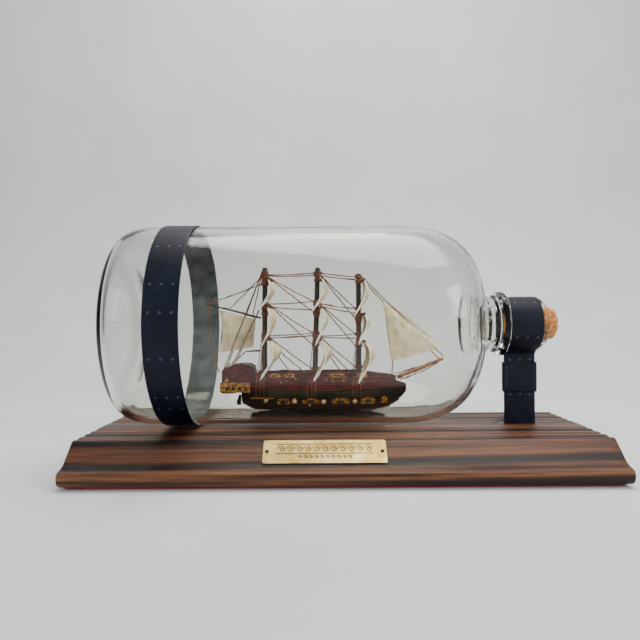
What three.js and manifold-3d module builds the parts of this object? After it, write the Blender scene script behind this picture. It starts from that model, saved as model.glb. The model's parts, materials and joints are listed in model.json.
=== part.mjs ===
// A ship in a bottle: a three-masted frigate inside a laid-down glass jug, held
// by two leather straps on a moulded wooden board with a felt underside.
// Millimetres, +X along the bottle towards its mouth, front towards -Y, +Z up.
// The origin is the middle of the underside.
import * as THREE from "three";
import { mergeVertices } from "three/addons/utils/BufferGeometryUtils.js";
import Module from "manifold-3d";

const wasm = await Module();
wasm.setup();

// ---- driving dimensions ----------------------------------------------------
const GAP = 0.2; // clearance between pieces that rest on each other
const BOARD_LENGTH = 268;
const BOARD_HALF_DEPTH = 58.5;
const BOARD_TOP = 20;
const FELT_THICKNESS = 0.8;
const STRAP_WIDTH = 17.4;
const STRAP_THICKNESS = 0.8;
const BOTTLE_RADIUS = 55;
const BOTTLE_WALL = 2.5;
const BOTTLE_SIDES = 48; // also the sides of the strap around it
const BASE_X = -120.2; // resting ring of the bottle's base
const HEEL_LENGTH = 24;
const HEEL_RADIUS = 43.7;
const SHOULDER_X = 32; // where the straight body ends
const SHOULDER_END_X = 75.7;
const BEAD_X = 89.7; // glass ring in front of the neck strap
const LIP_X = 114.4;
const NECK_RADIUS = 14.4;
const BORE_RADIUS = 9.4;
const CORK_END_X = 120.9;
const AXIS_Y = 1.7; // the bottle sits this far behind the board's middle
const AXIS_Z = BOARD_TOP + GAP + STRAP_THICKNESS + GAP + BOTTLE_RADIUS;
const BOTTLE_STRAP_X = -86.8;
const NECK_STRAP_X = 101.4;
const PLATE = { x: -9.6, length: 59.6, height: 13.2, thickness: 0.5, pinX: 27.8 };

// ---- finishes --------------------------------------------------------------
function finish(color, roughness, metalness = 0) {
  return () => new THREE.MeshStandardMaterial({ color, roughness, metalness });
}

function glassFinish() {
  return new THREE.MeshStandardMaterial({ color: "#dfe9e4", roughness: 0.05, transparent: true, opacity: 0.3 });
}

const boardWood = finish("#6b3f2a", 0.55);
const redFelt = finish("#9c1f28", 0.95);
const plateBrass = finish("#d3bd80", 0.35, 0.9);
const pinSteel = finish("#4a3b2a", 0.5, 0.8);
const leather = finish("#10182a", 0.45);
const corkWood = finish("#c98545", 0.85);
const putty = finish("#1b1a1c", 0.8);
const hullBlack = finish("#15161b", 0.35);
const hullMaroon = finish("#5c1f22", 0.45);
const gilt = finish("#b98a3d", 0.45, 0.6);
const sparBrown = finish("#3b2a24", 0.6);
const sparGolden = finish("#8f6237", 0.55);
const sailCloth = finish("#d8d0aa", 0.9);
const rope = finish("#8a5640", 0.85);

// ---- shape helpers ---------------------------------------------------------
const group = new THREE.Group();
group.name = "ship_in_a_bottle";
const bottleGroup = new THREE.Group(); // everything placed about the bottle's axis
bottleGroup.position.set(0, AXIS_Y, AXIS_Z);
group.add(bottleGroup);

function add(parent, name, geometry, material) {
  const mesh = new THREE.Mesh(outward(geometry), material());
  mesh.name = name;
  parent.add(mesh);
  return mesh;
}

// Turns a geometry's triangles to face outwards.
function outward(geometry) {
  const flat = geometry.index ? geometry.toNonIndexed() : geometry.clone();
  const p = flat.attributes.position.array;
  let volume = 0;
  for (let i = 0; i < p.length; i += 9) {
    volume += p[i] * (p[i + 4] * p[i + 8] - p[i + 5] * p[i + 7]);
    volume -= p[i + 1] * (p[i + 3] * p[i + 8] - p[i + 5] * p[i + 6]);
    volume += p[i + 2] * (p[i + 3] * p[i + 7] - p[i + 4] * p[i + 6]);
  }
  if (volume < 0) {
    for (let i = 0; i < p.length; i += 9) {
      for (let k = 0; k < 3; k++) {
        const held = p[i + 3 + k];
        p[i + 3 + k] = p[i + 6 + k];
        p[i + 6 + k] = held;
      }
    }
  }
  flat.deleteAttribute("normal");
  flat.deleteAttribute("uv");
  return mergeVertices(flat, 1e-4);
}

function toSolid(geometry) {
  const merged = outward(geometry);
  return new wasm.Manifold(new wasm.Mesh({
    numProp: 3,
    vertProperties: Float32Array.from(merged.attributes.position.array),
    triVerts: Uint32Array.from(merged.index.array),
  }));
}

function toGeometry(solid) {
  const mesh = solid.getMesh();
  const geometry = new THREE.BufferGeometry();
  geometry.setAttribute("position", new THREE.BufferAttribute(mesh.vertProperties, 3));
  geometry.setIndex(new THREE.BufferAttribute(mesh.triVerts, 1));
  return geometry;
}

function union(geometries) {
  return toGeometry(geometries.map(toSolid).reduce((whole, next) => whole.add(next)));
}

function cut(geometry, tools) {
  return toGeometry(tools.map(toSolid).reduce((whole, tool) => whole.subtract(tool), toSolid(geometry)));
}

// Turns a profile of [x, radius] pairs about the X axis.
function turnAboutX(profile, sides) {
  const points = profile.map(([x, r]) => new THREE.Vector2(r, x));
  return new THREE.LatheGeometry(points, sides).rotateZ(-Math.PI / 2);
}

// A quarter of a superellipse between two [x, radius] points.
function superArc(x0, r0, x1, r1, power, steps, bulge) {
  return Array.from({ length: steps + 1 }, (_, i) => {
    const t = (i / steps) * Math.PI / 2;
    const rise = Math.sin(t) ** (2 / power);
    const run = 1 - Math.cos(t) ** (2 / power);
    const [u, v] = bulge === "first" ? [run, rise] : [rise, run];
    return [x0 + (x1 - x0) * u, r0 + (r1 - r0) * v];
  });
}

// A flat outline in the Y-Z plane, pushed along X from x0.
function extrudeAlongX(shape, x0, length) {
  const geometry = new THREE.ExtrudeGeometry(shape, { depth: length, bevelEnabled: false, curveSegments: 24 });
  return geometry.applyMatrix4(new THREE.Matrix4().set(0, 0, 1, x0, 1, 0, 0, 0, 0, 1, 0, 0, 0, 0, 0, 1));
}

// A round stick from a to b, with its radius at each end.
function stick(a, b, ra, rb, sides = 8) {
  const from = new THREE.Vector3(...a);
  const along = new THREE.Vector3(...b).sub(from);
  const length = along.length();
  const turn = new THREE.Quaternion().setFromUnitVectors(new THREE.Vector3(0, 1, 0), along.normalize());
  return new THREE.CylinderGeometry(rb, ra, length, sides)
    .translate(0, length / 2, 0).applyQuaternion(turn).translate(...a);
}

// Joins rings of points, all of one even length, into a closed body. Each end is
// closed between the first half of its ring and the second half read backwards.
function loft(rings) {
  const count = rings[0].length;
  const index = [];
  for (let s = 0; s + 1 < rings.length; s++) {
    for (let i = 0; i < count; i++) {
      const a = s * count + i;
      const b = s * count + (i + 1) % count;
      index.push(a, b, b + count, a, b + count, a + count);
    }
  }
  for (const [ring, flip] of [[0, true], [rings.length - 1, false]]) {
    for (let i = 0; i + 1 < count / 2; i++) {
      const [a, b] = [ring * count + i, ring * count + i + 1];
      const [c, d] = [ring * count + count - 2 - i, ring * count + count - 1 - i];
      index.push(...(flip ? [c, b, a, d, c, a] : [a, b, c, a, c, d]));
    }
  }
  const geometry = new THREE.BufferGeometry();
  geometry.setAttribute("position", new THREE.Float32BufferAttribute(rings.flat(2), 3));
  geometry.setIndex(index);
  return geometry;
}

// A thin curved sheet: surface(u, v) for u and v from 0 to 1, made thick along
// the given direction.
function sheet(surface, columns, rows, direction, thickness) {
  const rings = [];
  for (let i = 0; i <= columns; i++) {
    const front = [];
    const back = [];
    for (let j = 0; j <= rows; j++) {
      const p = surface(i / columns, j / rows);
      front.push(p.map((value, k) => value + direction[k] * thickness / 2));
      back.unshift(p.map((value, k) => value - direction[k] * thickness / 2));
    }
    rings.push([...front, ...back]);
  }
  return loft(rings);
}

// ---- board, felt and nameplate ----------------------------------------------
// Front half of the moulding, from the crowned top over the sloping face and
// the cove to the round nose: [distance from the middle, height].
const TOP_EDGE = { y: 40.9, z: BOARD_TOP - 0.5 };
const SLOPE_FOOT = { y: 50.8, z: 10.5 };
const UNDERSIDE = 1;

function boardOutline() {
  const half = [[0, BOARD_TOP], [TOP_EDGE.y - 3, BOARD_TOP], [TOP_EDGE.y, TOP_EDGE.z],
    [SLOPE_FOOT.y, SLOPE_FOOT.z], [53.6, 9.3], [56.8, 8.5], [58.1, 7.6], [BOARD_HALF_DEPTH, 6],
    [58.3, 4.2], [57.2, 2.5], [55, 1.3], [53, UNDERSIDE]];
  const back = half.map(([y, z]) => new THREE.Vector2(y, z));
  const front = half.slice(1).reverse().map(([y, z]) => new THREE.Vector2(-y, z));
  return new THREE.Shape([...front, ...back]);
}

// The slope's frame: its middle, and unit vectors down it and out of it.
const slopeRun = new THREE.Vector2(SLOPE_FOOT.y - TOP_EDGE.y, SLOPE_FOOT.z - TOP_EDGE.z);
const slopeTilt = Math.atan2(-slopeRun.y, slopeRun.x);

// Moves a geometry drawn flat on X-Y, with +Z out of the face, onto the slope.
function ontoSlope(geometry, x, lift) {
  const middleY = -(TOP_EDGE.y + SLOPE_FOOT.y) / 2 - lift * Math.sin(slopeTilt);
  const middleZ = (TOP_EDGE.z + SLOPE_FOOT.z) / 2 + lift * Math.cos(slopeTilt);
  return geometry.rotateX(slopeTilt).translate(x, middleY, middleZ);
}

const PIN = { shank: 0.45, hole: 0.75, head: 1, depth: 4 };
const STRAP_SLOT = { depth: 6, width: 2 * STRAP_THICKNESS + 0.3 };

function pinHole(x) {
  const hole = new THREE.CylinderGeometry(PIN.hole, PIN.hole, 2 * PIN.depth + 2, 10).rotateX(Math.PI / 2);
  return ontoSlope(hole, x, 0);
}

const pinPlaces = { left: PLATE.x - PLATE.pinX, right: PLATE.x + PLATE.pinX };
const strapSlot = new THREE.BoxGeometry(STRAP_WIDTH + 2 * GAP, STRAP_SLOT.width + 2 * GAP, 2 * STRAP_SLOT.depth)
  .translate(NECK_STRAP_X, AXIS_Y, BOARD_TOP);
const boardBlank = extrudeAlongX(boardOutline(), -BOARD_LENGTH / 2, BOARD_LENGTH);
add(group, "base_board", cut(boardBlank, [...Object.values(pinPlaces).map(pinHole), strapSlot]), boardWood);
add(group, "felt_pad", new THREE.BoxGeometry(BOARD_LENGTH - 3, 2 * 54.5, FELT_THICKNESS)
  .translate(0, 0, FELT_THICKNESS / 2), redFelt);

function nameplate() {
  const outline = new THREE.Shape();
  const [w, h] = [PLATE.length / 2, PLATE.height / 2];
  outline.moveTo(-w, -h).lineTo(w, -h).lineTo(w, h).lineTo(-w, h).closePath();
  for (const side of [-1, 1]) {
    outline.holes.push(new THREE.Path().absarc(side * PLATE.pinX, 0, PIN.hole, 0, 2 * Math.PI));
  }
  const plate = new THREE.ExtrudeGeometry(outline, { depth: PLATE.thickness, bevelEnabled: false, curveSegments: 5 });
  return ontoSlope(plate, PLATE.x, GAP);
}

function platePin(x) {
  const profile = [[-PIN.depth, 0], [-PIN.depth + 0.8, PIN.shank], [PLATE.thickness + 2 * GAP, PIN.shank],
    [PLATE.thickness + 2 * GAP, PIN.head], [PLATE.thickness + 2 * GAP + 0.3, PIN.head], [1.5, 0.5], [1.6, 0]];
  return ontoSlope(turnAboutX(profile, 10).rotateY(-Math.PI / 2), x, 0);
}

add(group, "nameplate", nameplate(), plateBrass);
for (const [side, x] of Object.entries(pinPlaces)) add(group, `nameplate_pin_${side}`, platePin(x), pinSteel);

// ---- bottle and cork ----------------------------------------------------------
function bottleProfile() {
  const inner = BOTTLE_RADIUS - BOTTLE_WALL;
  const outside = [[BASE_X + 5, 0], [BASE_X + 4.2, 16], [BASE_X + 1.8, 30], [BASE_X + 0.3, 37],
    ...superArc(BASE_X, HEEL_RADIUS, BASE_X + HEEL_LENGTH, BOTTLE_RADIUS, 2.7, 7, "first"),
    ...superArc(SHOULDER_X, BOTTLE_RADIUS, SHOULDER_END_X, 18, 2.44, 9, "last"),
    [78, 15.6], [80, 15.2], [81.4, 16.4], [82.8, 15.2], [84.6, 15.2], [86, 16.4], [87.2, 15.8],
    [BEAD_X - 1.8, 17.6], [BEAD_X, 18.2], [BEAD_X + 1.8, 17.6], [BEAD_X + 2.4, NECK_RADIUS],
    [LIP_X - 5, NECK_RADIUS], [LIP_X - 2, 13.9], [LIP_X, 12.4], [LIP_X, BORE_RADIUS + 0.8],
    [LIP_X - 0.9, BORE_RADIUS]];
  const inside = [[84, BORE_RADIUS], [79, 10.8], [75.2, 14.5],
    ...superArc(SHOULDER_X, inner, 72.6, 18, 2.44, 9, "last").reverse(),
    ...superArc(BASE_X + 5.2, HEEL_RADIUS - 4, BASE_X + HEEL_LENGTH, inner, 2.5, 6, "first").reverse(),
    [BASE_X + 7.2, 28], [BASE_X + 8.6, 14], [BASE_X + 9, 0]];
  return [...outside, ...inside];
}

function corkProfile() {
  const [inner, outer] = [BORE_RADIUS - 0.9, BORE_RADIUS - 0.25];
  return [[LIP_X - 12, 0], [LIP_X - 12, inner - 0.5], [LIP_X - 11.4, inner], [LIP_X - 1, outer],
    [CORK_END_X - 2.2, outer - 0.4], [CORK_END_X - 0.6, outer - 1.5], [CORK_END_X, outer - 3.2], [CORK_END_X, 0]];
}

add(bottleGroup, "bottle", turnAboutX(bottleProfile(), BOTTLE_SIDES), glassFinish);
add(bottleGroup, "cork", turnAboutX(corkProfile(), 24), corkWood);

// ---- straps ---------------------------------------------------------------------
function bottleStrap() {
  const [r0, r1] = [BOTTLE_RADIUS + GAP, BOTTLE_RADIUS + GAP + STRAP_THICKNESS];
  const [x0, x1] = [BOTTLE_STRAP_X - STRAP_WIDTH / 2, BOTTLE_STRAP_X + STRAP_WIDTH / 2];
  return turnAboutX([[x0, r0], [x0, r1], [x1, r1], [x1, r0], [x0, r0]], BOTTLE_SIDES);
}

// A loop round the neck whose two ends meet below it and run down together
// into the slot in the board.
function neckStrap() {
  const inner = NECK_RADIUS + 0.3;
  const outer = inner + STRAP_THICKNESS;
  const half = STRAP_THICKNESS + 0.02;
  const foot = BOARD_TOP - STRAP_SLOT.depth + 1 - AXIS_Z;
  const pinch = 0.42; // half the angle over which the ends come together, radians
  const outline = new THREE.Shape();
  outline.moveTo(-half, foot).lineTo(half, foot).lineTo(half, -outer - 3.2);
  outline.quadraticCurveTo(half, -outer - 0.6, outer * Math.sin(pinch), -outer * Math.cos(pinch));
  outline.absarc(0, 0, outer, -Math.PI / 2 + pinch, 1.5 * Math.PI - pinch, false);
  outline.quadraticCurveTo(-half, -outer - 0.6, -half, -outer - 3.2);
  outline.closePath();
  const hole = new THREE.Path().absarc(0, 0, inner, 0, 2 * Math.PI, true);
  outline.holes.push(hole);
  return extrudeAlongX(outline, NECK_STRAP_X - STRAP_WIDTH / 2, STRAP_WIDTH);
}

function strapKeeper() {
  const { top, bottom, wide, thick } = { top: -21.6, bottom: -38.6, wide: STRAP_WIDTH + 2, thick: STRAP_THICKNESS };
  const [w, d] = [wide / 2, 0.02 + STRAP_THICKNESS + GAP + thick];
  const outline = new THREE.Shape();
  outline.moveTo(-w, -d).lineTo(w, -d).lineTo(w, d).lineTo(-w, d).closePath();
  const [hw, hd] = [w - 0.7, d - thick];
  const hole = new THREE.Path();
  hole.moveTo(-hw, -hd).lineTo(-hw, hd).lineTo(hw, hd).lineTo(hw, -hd).closePath();
  outline.holes.push(hole);
  const band = new THREE.ExtrudeGeometry(outline, { depth: top - bottom, bevelEnabled: false });
  return band.translate(NECK_STRAP_X, 0, bottom);
}

add(bottleGroup, "bottle_strap", bottleStrap(), leather);
add(bottleGroup, "neck_strap", neckStrap(), leather);
add(bottleGroup, "strap_keeper", strapKeeper(), leather);

// ---- hull -----------------------------------------------------------------------
// Heights here are from the bottle's axis. Each station gives the hull's place
// along X, its half breadth at the wale, and the heights of keel, wale and deck.
const STATIONS = [
  { x: -66.4, half: 5.4, keel: -39.6, wale: -38.2, deck: -25.4 },
  { x: -61, half: 6.4, keel: -41.2, wale: -38.0, deck: -23.2 },
  { x: -55.5, half: 7.1, keel: -44.2, wale: -37.2, deck: -22.1 },
  { x: -51, half: 7.5, keel: -46.6, wale: -36.2, deck: -22.7 },
  { x: -48.3, half: 7.7, keel: -47.6, wale: -35.7, deck: -24.6 },
  { x: -47.8, half: 7.7, keel: -47.8, wale: -35.6, deck: -29 },
  { x: -34, half: 8, keel: -49.2, wale: -36.2, deck: -29.4 },
  { x: -14, half: 8, keel: -49.8, wale: -36.5, deck: -29.6 },
  { x: 6, half: 7.7, keel: -49.5, wale: -36.3, deck: -29.5 },
  { x: 17, half: 6.6, keel: -48.6, wale: -35.9, deck: -29.4 },
  { x: 26, half: 4.6, keel: -46.8, wale: -35.3, deck: -29.8 },
  { x: 33, half: 2.2, keel: -42.6, wale: -34.8, deck: -32.2 },
  { x: 37, half: 0.7, keel: -37.4, wale: -34.4, deck: -33.4 },
];
const SEAM = 0.15; // half the gap between the two hull castings

function stationAt(x) {
  const last = STATIONS.length - 1;
  const i = Math.min(last - 1, Math.max(0, STATIONS.findIndex((s) => s.x >= x) - 1));
  const [a, b] = [STATIONS[i], STATIONS[i + 1]];
  const t = (x - a.x) / (b.x - a.x);
  return Object.fromEntries(Object.keys(a).map((key) => [key, a[key] + (b[key] - a[key]) * t]));
}

// Half breadth at a height: full and round below the wale, leaning in above it.
function halfBreadth(s, z) {
  if (z >= s.wale) return s.half * (1 - 0.12 * (z - s.wale) / 13);
  const depth = Math.min(1, (s.wale - z) / (s.wale - s.keel));
  return s.half * Math.max(0, 1 - depth ** 2.6) ** 0.62;
}

function hullRing(s, heights) {
  const side = heights.map((z) => [s.x, Math.max(0.35, halfBreadth(s, z)), z]);
  return [...side, ...side.map(([x, y, z]) => [x, -y, z]).reverse()];
}

function lowerHull() {
  return loft(STATIONS.slice(2).map((s) => {
    const top = s.wale - SEAM;
    return hullRing(s, [0, 0.35, 0.6, 0.8, 0.93, 1].map((t) => top + (s.keel - top) * t));
  }));
}

function upperHull() {
  return loft(STATIONS.map((s) => hullRing(s, [0, 0.5, 1].map((t) => s.wale + SEAM + (s.deck - s.wale - SEAM) * t))));
}

const PLANK_GAP = 0.5; // strips stand this far off the curved side at their corners

// A strip that lies on one side of the hull between two heights, with its inner
// face a little clear of the planking.
function planking(side, xs, low, high, thick) {
  return loft(xs.map((x) => {
    const s = stationAt(x);
    const corner = (z, out) => [x, side * (halfBreadth(s, z) + PLANK_GAP + out), z];
    return [corner(low(x), 0), corner(high(x), 0), corner(high(x), thick), corner(low(x), thick)];
  }));
}

function steps(from, to, count) {
  return Array.from({ length: count + 1 }, (_, i) => from + (to - from) * i / count);
}

const SIDES = { port: 1, starboard: -1 };
const GUN_ROW_Z = -42.3;
const GUN_XS = [-41.6, -25.8, -9.7, 7.5];
const GUN_ROW_X = [-44, 26];

// The gilded row of ports with its gun ends, one long strip on each side.
function gunRow(side) {
  const strip = planking(side, steps(...GUN_ROW_X, 8), () => GUN_ROW_Z - 1.8, () => GUN_ROW_Z + 1.8, 0.6);
  const guns = GUN_XS.map((x) => {
    const y = side * (halfBreadth(stationAt(x), GUN_ROW_Z) + PLANK_GAP + 0.2);
    return stick([x, y, GUN_ROW_Z], [x, y + side * 2, GUN_ROW_Z + 0.2], 0.7, 0.55);
  });
  return union([strip, ...guns]);
}

// Carved stern gallery: both quarters and the transom in one wrapped band.
function sternGallery() {
  const [low, high, thick] = [-37.7, -31.8, 0.8];
  const transom = STATIONS[0];
  const wrap = [...steps(-50.4, transom.x, 3).map((x) => ({ x, side: 1 })),
    ...steps(transom.x, -50.4, 3).map((x) => ({ x, side: -1 }))];
  const rings = wrap.map(({ x, side }) => {
    const s = stationAt(x);
    const end = x <= transom.x ? 1 : 0;
    const corner = (z, out) => [x - end * (GAP + out), side * (halfBreadth(s, z) + GAP + out), z];
    return [corner(low, 0), corner(high, 0), corner(high, thick), corner(low, thick)];
  });
  return loft(rings);
}

function bulwark(side) {
  return loft([...steps(-47.2, 26, 9), 28.6, 31].map((x) => {
    const s = stationAt(x);
    const outer = halfBreadth(s, s.deck) - 0.1;
    const inner = Math.max(0.6, outer - 0.8);
    const top = -26.4 - 2.3 * Math.max(0, (x - 6) / 24) ** 1.5;
    return [[x, side * inner, s.deck + 2 * GAP], [x, side * outer, s.deck + 2 * GAP], [x, side * outer, top],
      [x, side * inner, top]];
  }));
}

add(bottleGroup, "hull_lower", lowerHull(), hullBlack);
add(bottleGroup, "hull_upper", upperHull(), hullMaroon);
add(bottleGroup, "stern_gallery", sternGallery(), gilt);
for (const [name, side] of Object.entries(SIDES)) {
  add(bottleGroup, `gun_row_${name}`, gunRow(side), gilt);
  add(bottleGroup, `bulwark_${name}`, bulwark(side), hullMaroon);
}
add(bottleGroup, "rudder", new THREE.BoxGeometry(2.4, 1, 6).translate(-57.2, 0, -42.4), hullBlack);
add(bottleGroup, "deck_hatch", new THREE.BoxGeometry(8, 4.6, 1.6).translate(-2.4, 0, -28.4), sparBrown);

// Dark putty between the keel and the glass.
function gluebed() {
  const floor = -Math.sqrt((BOTTLE_RADIUS - BOTTLE_WALL) ** 2 - 7 ** 2) + 0.5;
  return loft([[-50, 3], [-47.8, 4], [-34, 6], [-14, 7], [6, 7], [17, 5.5], [24, 3]].map(([x, half]) => {
    const top = stationAt(x).keel - 0.3;
    return [[x, half, floor], [x, half * 0.5, top], [x, -half * 0.5, top], [x, -half, floor]];
  }));
}

add(bottleGroup, "glue_bed", gluebed(), putty);

// ---- masts, yards and sails -------------------------------------------------------
const MAST_FOOT_R = 1.6;
const MAST_HEAD_R = 1.5;
const YARD_R = 0.6;
const YARD_OUT = 2.6; // a yard hangs this far before its mast
const SAIL_THICKNESS = 0.4;
// Each mast leans from its foot to its head, and each of its sails has a head
// height and the height of its lower corners.
const MASTS = {
  mizzen: { foot: -43, head: -42.5, top: 32.2, sails: [[24.7, 8.1], [9.2, -11.5], [-9.2, -29.3]] },
  main: { foot: -14.5, head: -12.6, top: 32.5, sails: [[24.9, 7.5], [8.8, -11], [-9.5, -30.3]] },
  fore: { foot: 10.4, head: 10.4, top: 28.7, sails: [[24, 5], [5, -10.5], [-10.2, -31.2]] },
};
const SAIL_NAMES = ["topgallant", "topsail", "course"];
const YARD_HALF = [9.5, 12, 14.2];
const BELLY = [3.2, 3.8, 6.6];
const CLEW_SWEEP = [5.4, 3.2, 3.6];
const FOOT_ARC = [5.6, 6.2, 6];
const MAST_FOOT_Z = -28.7;

function mastX(mast, z) {
  return mast.foot + (mast.head - mast.foot) * (z - MAST_FOOT_Z) / (mast.top - MAST_FOOT_Z);
}

function mastStick(mast) {
  return stick([mast.foot, 0, MAST_FOOT_Z], [mast.head, 0, mast.top], MAST_FOOT_R, MAST_HEAD_R, 12);
}

function yard(mast, tier) {
  const z = mast.sails[tier][0] + 0.9;
  const x = mastX(mast, z) + YARD_OUT;
  const half = YARD_HALF[tier] + 1.2;
  const profile = [[-half, 0], [-half, 0.3], [-half * 0.4, YARD_R], [half * 0.4, YARD_R], [half, 0.3], [half, 0]];
  return turnAboutX(profile, 8).rotateZ(Math.PI / 2).translate(x, 0, z);
}

// A square sail bellies towards the bow, its lower corners drawn aft and its
// foot cut to an arch over the yard or deck below.
function squareSail(mast, tier) {
  const [head, clew] = mast.sails[tier];
  const x0 = mastX(mast, head) + YARD_OUT;
  return sheet((i, v) => {
    const u = 2 * i - 1;
    const half = YARD_HALF[tier] * (0.94 + 0.06 * v);
    const arch = FOOT_ARC[tier] * (1 - Math.abs(u) ** 3) * v;
    const belly = BELLY[tier] * Math.sin(Math.PI * v ** 0.8) * (1 - 0.45 * u * u);
    return [x0 + belly - CLEW_SWEEP[tier] * u * u * v ** 1.5, half * u, head + (clew - head) * v + arch];
  }, 8, 6, [1, 0, 0], SAIL_THICKNESS);
}

for (const [name, mast] of Object.entries(MASTS)) {
  add(bottleGroup, `${name}_mast`, mastStick(mast), sparBrown);
  SAIL_NAMES.forEach((sail, tier) => {
    add(bottleGroup, `${name}_${sail}_yard`, yard(mast, tier), sparBrown);
    add(bottleGroup, `${name}_${sail}`, squareSail(mast, tier), sailCloth);
  });
}

const GAFF = { throat: [-44.8, 0, 4.0], peak: [-73.3, 0, 11.3] };
const BOOM = { jaw: [-45.2, 0, -14.4], end: [-53.4, 0, -14.8] };
const BOWSPRIT = { root: [31.9, 0, -30], tip: [58.4, 0, -19.6] };
add(bottleGroup, "gaff", stick(GAFF.throat, GAFF.peak, 0.6, 0.4), sparBrown);
add(bottleGroup, "boom", stick(BOOM.jaw, BOOM.end, 0.6, 0.4), sparBrown);
add(bottleGroup, "bowsprit", stick(BOWSPRIT.root, BOWSPRIT.tip, 1.1, 0.55), sparGolden);

// A fore-and-aft sail between four corners [x, z] beside the line y, bellied to
// starboard and hollowed along its leech.
function foreAndAftSail(corners, y, belly, hollow) {
  const [headFore, headAft, footAft, footFore] = corners;
  return sheet((u, v) => {
    const mix = (a, b, t) => a + (b - a) * t;
    const x = mix(mix(headFore[0], headAft[0], u), mix(footFore[0], footAft[0], u), v);
    const z = mix(mix(headFore[1], headAft[1], u), mix(footFore[1], footAft[1], u), v);
    const draw = Math.sin(Math.PI * u) * Math.sin(Math.PI * v);
    return [x + hollow * u * Math.sin(Math.PI * v), y - belly * draw, z];
  }, 6, 6, [0, 1, 0], SAIL_THICKNESS);
}

const SPANKER = [[-47.8, 3.4], [-68.2, 8.2], [-69.2, -15.6], [-49.4, -12.4]];
const JIB = [[24.8, 12.8], [23.8, 12], [28.5, -21], [55.2, -13.6]];
const FLYING_JIB = [[28.6, 11.6], [27.2, 9.6], [55.6, -14], [58.8, -12.6]];
add(bottleGroup, "spanker", foreAndAftSail(SPANKER, 0, 2, 2.4), sailCloth);
add(bottleGroup, "jib", foreAndAftSail(JIB, -1.2, 1.6, 1), sailCloth);
add(bottleGroup, "flying_jib", foreAndAftSail(FLYING_JIB, 1, 0, 0), sailCloth);

// ---- rigging ------------------------------------------------------------------------
const THREAD_R = 0.2;
const HOOP_SLACK = 0.5; // from the mast's surface to the middle of a lashing

function thread(a, b) {
  return stick(a, b, THREAD_R, THREAD_R, 6);
}

function hoopRadius(mast, z) {
  const t = (z - MAST_FOOT_Z) / (mast.top - MAST_FOOT_Z);
  return MAST_FOOT_R + (MAST_HEAD_R - MAST_FOOT_R) * t + HOOP_SLACK;
}

// A lashing that goes round a mast a little clear of it.
function hoop([mast, z]) {
  return new THREE.TorusGeometry(hoopRadius(mast, z), THREAD_R * 1.4, 4, 12).translate(mastX(mast, z), 0, z);
}

// The point of a lashing that faces a place to the side.
function hoopPoint([mast, z], towardsX, y = 0) {
  const x = mastX(mast, z);
  const reach = Math.hypot(towardsX - x, y);
  const r = hoopRadius(mast, z);
  return [x + r * (towardsX - x) / reach, r * y / reach, z];
}

// Lashings joined by the straight threads between them, as one body.
function stays(lashings, pairs, ends = []) {
  const lines = pairs.map(([a, b]) => {
    const [from, to] = [lashings[a], lashings[b]];
    return thread(hoopPoint(from, mastX(...to)), hoopPoint(to, mastX(...from)));
  });
  const loose = ends.map(([a, end]) => thread(hoopPoint(lashings[a], end[0], end[1]), end));
  return union([...Object.values(lashings).map(hoop), ...lines, ...loose]);
}

const { mizzen, main, fore } = MASTS;

add(bottleGroup, "masthead_stay", stays(
  { a: [mizzen, 28.4], b: [main, 29.4], c: [fore, 27] },
  [["a", "b"], ["b", "c"]],
  [["c", [58.6, 0, -18.2]]],
), rope);

add(bottleGroup, "mizzen_main_stays", stays(
  { top: [mizzen, 27.2], mid: [mizzen, 11.9], low: [mizzen, -6.3],
    a: [main, 13.2], b: [main, 7.2], c: [main, -4.6], d: [main, -11.2], e: [main, -25] },
  [["top", "a"], ["top", "b"], ["mid", "a"], ["mid", "c"], ["mid", "d"], ["low", "c"], ["low", "e"]],
), rope);

add(bottleGroup, "main_fore_stays", stays(
  { top: [main, 28], mid: [main, 11.9], low: [main, -6.4],
    a: [fore, 9.2], b: [fore, 3.4], c: [fore, -5.4], d: [fore, -12], e: [fore, -24] },
  [["top", "a"], ["top", "b"], ["mid", "a"], ["mid", "c"], ["mid", "d"], ["low", "c"], ["low", "e"]],
), rope);

// Three shrouds on each side, from under the middle yard down outside the rail.
function shrouds(mast) {
  const lashing = [mast, mast.sails[1][0] - 3];
  const lines = Object.values(SIDES).flatMap((side) => [-4, -1.8, 0.4].map((aft) => {
    const foot = mast.foot + aft;
    return ["a", [foot, side * (halfBreadth(stationAt(foot), -34) + 1.5), -34]];
  }));
  return stays({ a: lashing }, [], lines);
}

for (const [name, mast] of Object.entries(MASTS)) add(bottleGroup, `${name}_shrouds`, shrouds(mast), rope);

// Two lines from the mizzen masthead to the quarters of the stern.
const quarters = Object.values(SIDES).map((side) => ["a", [-65.2, side * 4.4, -24.4]]);
add(bottleGroup, "mizzen_backstays", stays({ a: [mizzen, 29.6] }, [], quarters), rope);

// The peak line runs from the mizzen over the end of the gaff, then hangs down
// to the stern.
function peakLine() {
  const [peak, slack, stern] = [[-74.6, 0, 12.3], [-72.9, 0, -15], [-68.6, 0, -26.4]];
  return union([stays({ a: [mizzen, 23.2] }, [], [["a", peak]]), thread(peak, slack), thread(slack, stern)]);
}

add(bottleGroup, "peak_line", peakLine(), rope);

export default group;
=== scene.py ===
"""Ship in a bottle: a frigate inside a laid-down glass jug, strapped to a moulded board."""

import json
import math
import random

import bmesh
import bpy
from mathutils import Matrix, Vector

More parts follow.
